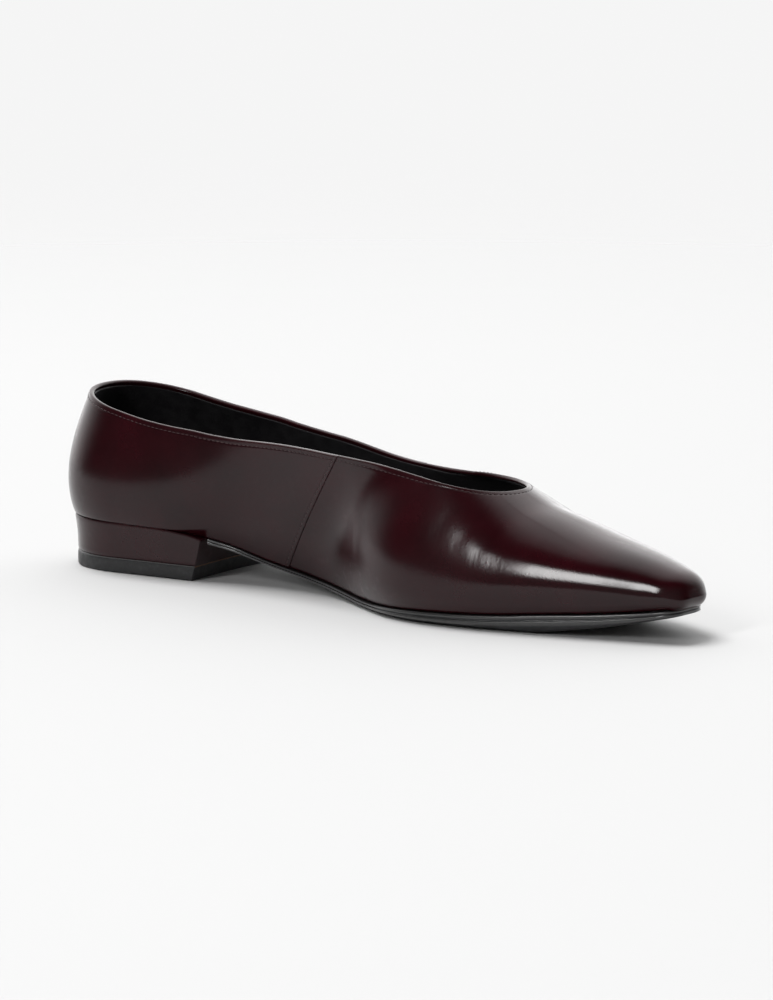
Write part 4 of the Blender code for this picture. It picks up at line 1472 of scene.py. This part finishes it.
@dataclass
class Heel:
    """Covered heel block, the board under it and its rubber top piece."""

    last: Last
    top_piece: float = 4.8 * MM
    board: float = 0.45 * MM
    flare: float = 1.0 * MM
    hollow: float = 1.0 * MM
    steps: int = 44
    across: int = 20
    levels: int = 16
    low_tuck: Pair = (0.45 * MM, 0.07)
    high_tuck: Pair = (0.30 * MM, 0.05)
    waist: float = 0.25 * MM
    flare_power: float = 1.2
    board_rims: tuple[Rim, ...] = (Rim(0.0, 0.18), Rim(0.5, 0.14), Rim(1.0, 0.18))
    board_gap: float = 0.01 * MM
    rubber_rims: tuple[Rim, ...] = (
        Rim(0.0, 0.45), Rim(0.03, 0.22), Rim(0.08, 0.06), Rim(0.16, 0.0), Rim(0.5, -0.03), Rim(0.84, 0.0),
        Rim(0.93, 0.06), Rim(0.98, 0.18), Rim(1.0, 0.34),
    )

    def block(self) -> bpy.types.Object:
        """Leather-covered block up to the heel seat."""
        last = self.last
        low = self.top_piece + self.board
        high = float(last.seat(last.breast_medial * last.length))
        rows = []
        for share in np.linspace(0.0, 1.0, self.levels):
            z = low + (high - low) * share
            tuck = self._tuck(self.low_tuck, share) + self._tuck(self.high_tuck, 1.0 - share)
            waist = self.waist * math.sin(math.pi * share)
            rows.append((z, self.flare * share**self.flare_power - waist - tuck, share))
        return self._slab("heel_cover", rows, low, seat=True)

    @staticmethod
    def _tuck(size: Pair, share: float) -> float:
        """How far a rounded edge of a depth and a reach stands back at a share of the height from it."""
        depth, reach = size
        return depth * (1.0 - math.sqrt(1.0 - max(0.0, 1.0 - share / reach) ** 2))

    def lift(self) -> bpy.types.Object:
        """Thin board between block and top piece."""
        low = self.top_piece + self.board_gap
        rise = self.board - 2 * self.board_gap
        rows = [(low + rise * rim.height, -rim.inset * MM, rim.height) for rim in self.board_rims]
        return self._slab("heel_board", rows, self.top_piece, seat=False)

    def rubber(self) -> bpy.types.Object:
        """Top piece flat on the floor."""
        rows = [(self.top_piece * rim.height, -rim.inset * MM, rim.height) for rim in self.rubber_rims]
        return self._slab("top_piece", rows, 0.0, seat=False)

    def _slab(self, name: str, rows: Sequence[Sequence[float]], low: float, seat: bool) -> bpy.types.Object:
        """A layer of the heel from rows of height, flare and share of its height."""
        last = self.last
        medial, lateral = [], []
        for z, flare, share in rows:
            inner, outer = last.heel_runs(z, flare, self.steps)
            for run, wall in ((inner, medial), (outer, lateral)):
                lift = low + (last.seat(run[:, 0]) - low) * share if seat else np.full(len(run), z)
                wall.append(np.column_stack([run, lift]))
        medial, lateral = np.stack(medial), np.stack(lateral)
        shares = np.linspace(0.0, 1.0, self.across + 1)
        grids = []
        for level in (0, -1):
            grid = grid_between(medial[level], lateral[level], shares)
            grid[-1, :, 0] -= self.hollow * np.sin(math.pi * shares)
            if seat and level == -1:
                grid[..., 2] = last.seat(grid[..., 0])
            grids.append(last.to_frame(grid[::-1]))
        slab = Slab(name)
        return slab.build(last.to_frame(medial[:, ::-1]), last.to_frame(lateral[:, ::-1]), grids[0], grids[1])


@dataclass
class Sock:
    """Insole board with its sock, softly cupped, with a rolled edge."""

    last: Last
    inset: float = 1.60 * MM
    thickness: float = 1.8 * MM
    pad: float = 0.7 * MM
    heel_steps: int = 40
    steps: int = 200
    toe_steps: int = 30
    across: int = 36
    pad_fade: Pair = (0.055, 0.085)
    rims: tuple[Rim, ...] = (
        Rim(0.0, 0.0), Rim(0.3, 0.0), Rim(0.7, 0.0), Rim(0.88, 0.05), Rim(0.96, 0.18), Rim(1.0, 0.4),
    )

    def build(self) -> bpy.types.Object:
        """Make the solid."""
        last = self.last
        places = np.concatenate([
            np.linspace(0.0, 1.0, self.heel_steps)[:-1], np.linspace(1.0, 2.0, self.steps)[:-1],
            np.linspace(2.0, 3.0, self.toe_steps),
        ])
        ring = np.concatenate([last.foot(places), last.foot(ROUND - places[-2:0:-1])])
        ring = ring - last.outward(ring)[:-1] * self.inset
        count = len(places)
        runs = (ring[:count], np.concatenate([ring[:1], ring[: count - 2 : -1]]))
        walls = []
        for run in runs:
            inward = unit((runs[0] + runs[1]) / 2 - run)
            levels = []
            for rim in self.rims:
                plan = run + inward * rim.inset * MM
                z = last.seat(plan[:, 0]) + last.gap + self.thickness * rim.height
                levels.append(np.column_stack([plan, z]))
            walls.append(np.stack(levels))
        shares = np.linspace(0.0, 1.0, self.across + 1)
        grids = []
        for level in (0, -1):
            grid = grid_between(walls[0][level], walls[1][level], shares)
            grid[..., 2] = last.seat(grid[..., 0]) + last.gap
            if level:
                crown = np.sin(math.pi * shares)[None, :]
                heel = 1.0 - smoothstep(*self.pad_fade, grid[..., 0])
                grid[..., 2] += self.thickness + self.pad * crown * heel
            grids.append(last.to_frame(grid))
        slab = Slab("sock")
        return slab.build(last.to_frame(walls[0]), last.to_frame(walls[1]), grids[0], grids[1])


@dataclass
class StitchRow:
    """A row of stitches that follows a path on the leather, made with Geometry Nodes."""

    name: str
    pitch: float = 1.90 * MM
    length: float = 1.45 * MM
    thread: float = 0.26 * MM

    def tree(self, thread: bpy.types.Material) -> tuple[bpy.types.NodeTree, dict[str, str]]:
        """Node tree that sets a stitch at every pitch of the path.

        Args:
            thread: Material of the stitches.

        Returns:
            The tree, and the identifiers of its named inputs.
        """
        tree = bpy.data.node_groups.new(self.name + "_nodes", "GeometryNodeTree")
        face = tree.interface
        face.new_socket("Path", in_out="INPUT", socket_type="NodeSocketGeometry")
        sizes = {}
        for label in ("Pitch", "Length", "Thread"):
            sizes[label] = face.new_socket(label, in_out="INPUT", socket_type="NodeSocketFloat").identifier
        face.new_socket("Stitches", in_out="OUTPUT", socket_type="NodeSocketGeometry")
        graph = Nodes(tree)
        source = graph.add("NodeGroupInput").outputs
        curve = graph.add("GeometryNodeMeshToCurve", {"Mesh": source["Path"]}).outputs["Curve"]
        evenly = {"Curve": curve, "Length": source["Pitch"]}
        points = graph.add("GeometryNodeResampleCurve", evenly, mode="LENGTH").outputs["Curve"]
        ball = {"Segments": 8, "Rings": 8, "Radius": 0.5}
        bead = graph.add("GeometryNodeMeshUVSphere", ball).outputs["Mesh"]
        size = {"X": source["Length"], "Y": source["Thread"], "Z": source["Thread"]}
        scale = graph.add("ShaderNodeCombineXYZ", size).outputs["Vector"]
        shape = graph.add("GeometryNodeTransform", {"Geometry": bead, "Scale": scale}).outputs["Geometry"]
        tangent = graph.add("GeometryNodeInputTangent").outputs["Tangent"]
        out = graph.add("GeometryNodeInputNamedAttribute", {"Name": "out"}, data_type="FLOAT_VECTOR")
        align = "FunctionNodeAlignRotationToVector"
        along = graph.add(align, {"Vector": tangent}, axis="X").outputs["Rotation"]
        facing = {"Rotation": along, "Vector": out.outputs["Attribute"]}
        turned = graph.add(align, facing, axis="Z", pivot_axis="X").outputs["Rotation"]
        placing = {"Points": points, "Instance": shape, "Rotation": turned}
        placed = graph.add("GeometryNodeInstanceOnPoints", placing).outputs["Instances"]
        real = graph.add("GeometryNodeRealizeInstances", {"Geometry": placed}).outputs["Geometry"]
        paint = graph.add("GeometryNodeSetMaterial", {"Geometry": real, "Material": thread})
        graph.add("NodeGroupOutput", {"Stitches": paint.outputs["Geometry"]})
        return tree, sizes

    def build(
        self, paths: Sequence[tuple[np.ndarray, np.ndarray]], thread: bpy.types.Material
    ) -> bpy.types.Object:
        """Stitch along paths.

        Args:
            paths: Points and outward directions of each row.
            thread: Material of the stitches.

        Returns:
            The stitches as one plain mesh.
        """
        points = np.concatenate([path for path, _ in paths])
        normals = np.concatenate([normal for _, normal in paths])
        edges, start = [], 0
        for path, _ in paths:
            edges += [(start + k, start + k + 1) for k in range(len(path) - 1)]
            start += len(path)
        mesh = bpy.data.meshes.new(self.name + "_path")
        mesh.from_pydata([tuple(point) for point in points], edges, [])
        mesh.attributes.new("out", "FLOAT_VECTOR", "POINT").data.foreach_set("vector", normals.ravel())
        item = bpy.data.objects.new(self.name, mesh)
        bpy.context.scene.collection.objects.link(item)
        tree, sizes = self.tree(thread)
        modifier = item.modifiers.new("stitches", "NODES")
        modifier.node_group = tree
        modifier[sizes["Pitch"]] = self.pitch
        modifier[sizes["Length"]] = self.length
        modifier[sizes["Thread"]] = self.thread
        bpy.context.view_layer.update()
        solid = bpy.data.meshes.new_from_object(item.evaluated_get(bpy.context.evaluated_depsgraph_get()))
        item.modifiers.clear()
        item.data = solid
        solid.name = self.name
        solid.shade_smooth()
        return item


@dataclass
class Studio:
    """Pale floor, soft surroundings, a slanted strip light, a fill light and the camera."""

    camera_place: tuple[float, float, float] = (1.3341, -1.6793, 0.3990)
    camera_aim: tuple[float, float, float] = (0.0065, -0.0083, 0.0345)
    lens: float = 228.0
    sensor: float = 36.0
    clip: Pair = (0.05, 20.0)
    back_azimuth: float = -142.0
    back_lift: float = 0.5
    strip_azimuth: float = -4.0
    strip_elevation: float = 33.0
    strip_distance: float = 6.0
    strip_width: float = 1.92
    strip_height: float = 4.16
    strip_radiance: float = 21.0
    strip_soft: float = 0.10
    strip_low: tuple[Pair, ...] = (
        (0.00, 0.90), (0.11, 0.84), (0.18, 0.80), (0.25, 0.71), (0.32, 0.56), (0.41, 0.44), (0.50, 0.35),
        (0.60, 0.20), (0.72, 0.13), (1.00, 0.07),
    )
    strip_high: tuple[Pair, ...] = (
        (0.00, 0.78), (0.13, 0.79), (0.28, 0.80), (0.42, 0.79), (0.50, 0.765), (0.58, 0.72), (0.67, 0.68),
        (0.80, 0.63), (1.00, 0.58),
    )
    strip_ends: tuple[Pair, ...] = (
        (0.00, 0.00), (0.30, 0.00), (0.36, 0.06), (0.42, 0.28), (0.47, 0.75), (0.52, 1.00), (0.75, 1.00),
        (0.85, 0.50), (1.00, 0.00),
    )
    fill_azimuth: float = -80.0
    fill_elevation: float = 72.0
    fill_distance: float = 6.0
    fill_size: float = 3.0
    fill_power: float = 370.0
    background: float = 0.915
    floor_sides: int = 96
    floor_radius: float = 1.4
    floor_level: float = -0.0001
    ramp: tuple[Pair, ...] = (
        (0.00, 0.04), (0.10, 0.03), (0.28, 0.12), (0.43, 0.62), (0.55, 1.00), (0.68, 1.50), (0.85, 1.80),
        (1.00, 1.90),
    )

    def build(self) -> None:
        """Set everything up."""
        bpy.context.scene.view_settings.view_transform = "Standard"
        self._floor()
        self._surroundings()
        self._strip()
        self._fill()
        self._camera()

    def _floor(self) -> None:
        """Round pale floor just below the shoe."""
        mesh = bpy.data.meshes.new("floor")
        ring = []
        for k in range(self.floor_sides):
            turn = k * math.tau / self.floor_sides
            across, ahead = self.floor_radius * math.cos(turn), self.floor_radius * math.sin(turn)
            ring.append((across, ahead, self.floor_level))
        mesh.from_pydata(ring, [], [tuple(range(self.floor_sides))])
        floor = bpy.data.objects.new("floor", mesh)
        mesh.materials.append(PaleFloor().material())
        bpy.context.scene.collection.objects.link(floor)

    def _surroundings(self) -> None:
        """Soft light from behind and above; plain pale where the camera looks past the floor."""
        world = bpy.data.worlds.new("soft_studio")
        bpy.context.scene.world = world
        world.use_nodes = True
        world.node_tree.nodes.clear()
        graph = Nodes(world.node_tree)
        place = graph.add("ShaderNodeTexCoord").outputs["Generated"]
        angle = math.radians(self.back_azimuth)
        back = (math.sin(angle), -math.cos(angle), self.back_lift)
        facing = graph.add("ShaderNodeVectorMath", {0: place, 1: back}, operation="DOT_PRODUCT")
        half = graph.curve(facing.outputs["Value"], [(at, value / 2.0) for at, value in self.ramp])
        light = graph.add("ShaderNodeBackground", {"Strength": graph.maths("MULTIPLY", half, 2.0)})
        plain = graph.add("ShaderNodeBackground", {"Color": (self.background,) * 3 + (1.0,)})
        is_seen = graph.add("ShaderNodeLightPath").outputs["Is Camera Ray"]
        mix = graph.add("ShaderNodeMixShader", {0: is_seen, 1: light.outputs[0], 2: plain.outputs[0]})
        graph.add("ShaderNodeOutputWorld", {"Surface": mix.outputs[0]})

    def _aimed_light(self, name: str, azimuth: float, elevation: float, distance: float) -> bpy.types.Object:
        """Rectangular light that faces the shoe from a direction."""
        turn, tilt = math.radians(azimuth), math.radians(elevation)
        away = Vector((math.cos(tilt) * math.sin(turn), -math.cos(tilt) * math.cos(turn), math.sin(tilt)))
        light = bpy.data.lights.new(name, "AREA")
        light.shape = "RECTANGLE"
        item = bpy.data.objects.new(name, light)
        item.location = away * distance
        item.rotation_euler = (-away).to_track_quat("-Z", "Y").to_euler()
        item.visible_camera = False
        bpy.context.scene.collection.objects.link(item)
        return item

    def _strip(self) -> None:
        """Slanted strip light whose reflection is the streak along the vamp."""
        item = self._aimed_light("strip_light", self.strip_azimuth, self.strip_elevation, self.strip_distance)
        light = item.data
        light.size = self.strip_width
        light.size_y = self.strip_height
        light.energy = self.strip_radiance * math.pi * light.size * light.size_y
        self._shape_strip(light)

    def _fill(self) -> None:
        """Broad light from the left and above that keeps the paper white and leaves no mark in the gloss."""
        item = self._aimed_light("fill_light", self.fill_azimuth, self.fill_elevation, self.fill_distance)
        item.visible_glossy = False
        item.data.size = self.fill_size
        item.data.size_y = self.fill_size
        item.data.energy = self.fill_power

    def _shape_strip(self, light: bpy.types.Light) -> None:
        """Keep the strip's light between two slanted, soft edges and fade its ends."""
        light.use_nodes = True
        graph = Nodes(light.node_tree)
        place = graph.add("ShaderNodeNewGeometry").outputs["Parametric"]
        parts = graph.add("ShaderNodeSeparateXYZ", {0: place}).outputs
        across, up = parts["X"], parts["Y"]
        above = graph.maths("SUBTRACT", up, graph.curve(across, self.strip_low))
        below = graph.maths("SUBTRACT", graph.curve(across, self.strip_high), up)
        inside = [graph.span(depth, -self.strip_soft, self.strip_soft, 0.0, 1.0) for depth in (above, below)]
        band = graph.maths("MULTIPLY", *inside)
        strength = graph.maths("MULTIPLY", band, graph.curve(across, self.strip_ends))
        graph.tree.links.new(strength, graph.tree.nodes["Emission"].inputs["Strength"])

    def _camera(self) -> None:
        """Camera where the photograph was taken, aimed at the shoe."""
        data = bpy.data.cameras.new("camera")
        data.lens = self.lens
        data.sensor_fit = "AUTO"
        data.sensor_width = self.sensor
        data.clip_start, data.clip_end = self.clip
        camera = bpy.data.objects.new("camera", data)
        camera.location = self.camera_place
        aim = Vector(self.camera_aim) - Vector(self.camera_place)
        camera.rotation_euler = aim.to_track_quat("-Z", "Y").to_euler()
        bpy.context.scene.collection.objects.link(camera)
        bpy.context.scene.camera = camera


def dress(piece: bpy.types.Object, *materials: bpy.types.Material) -> bpy.types.Object:
    """Give a piece its materials."""
    piece.data.materials.clear()
    for material in materials:
        piece.data.materials.append(material)
    return piece


def split_sole_finish(sole: bpy.types.Object) -> None:
    """Tread material on the faces that look down, edge ink on the rest."""
    for face in sole.data.polygons:
        face.material_index = 1 if face.normal.z < TREAD_DIP else 0


def split_board_finish(board: bpy.types.Object) -> None:
    """Raw board on the breast, edge ink all round the sides."""
    for face in board.data.polygons:
        face.material_index = 1 if face.normal.x > BREAST_TURN else 0


def main() -> None:
    """Build the shoe's pieces in order, then the studio."""
    logging.basicConfig(level=logging.INFO, format="%(message)s")
    last = Last()
    log.info("frame's origin in last coordinates: %s", last.origin)
    leather = GlossLeather().material()
    # Black lining leather darkened further to paint in the shade inside the shoe; it dresses lining and sock.
    lining = LiningLeather().material()
    ink = EdgeInk().material()
    thread = Thread().material()
    upper = Upper(last)
    attach(dress(upper.quarters(), leather), ["upper"])
    attach(dress(upper.vamp(), leather), ["upper"])
    attach(dress(upper.lining(), lining), ["upper"])
    attach(dress(Sock(last).build(), lining), ["insole"])
    sole = dress(Outsole(last).build(), ink, TreadLeather().material())
    split_sole_finish(sole)
    attach(sole, ["outsole"])
    heel = Heel(last)
    attach(dress(heel.block(), leather), ["heel"])
    board = dress(heel.lift(), ink, FibreBoard().material())
    split_board_finish(board)
    attach(board, ["heel"])
    attach(dress(heel.rubber(), HardRubber().material()), ["top_piece"])
    topline = StitchRow("topline_stitches").build(upper.topline_paths(), thread)
    attach(topline, ["upper"])
    seams = StitchRow("seam_stitches").build(upper.seam_paths(), thread)
    attach(seams, ["upper"])
    Studio().build()


if __name__ == "__main__":
    main()
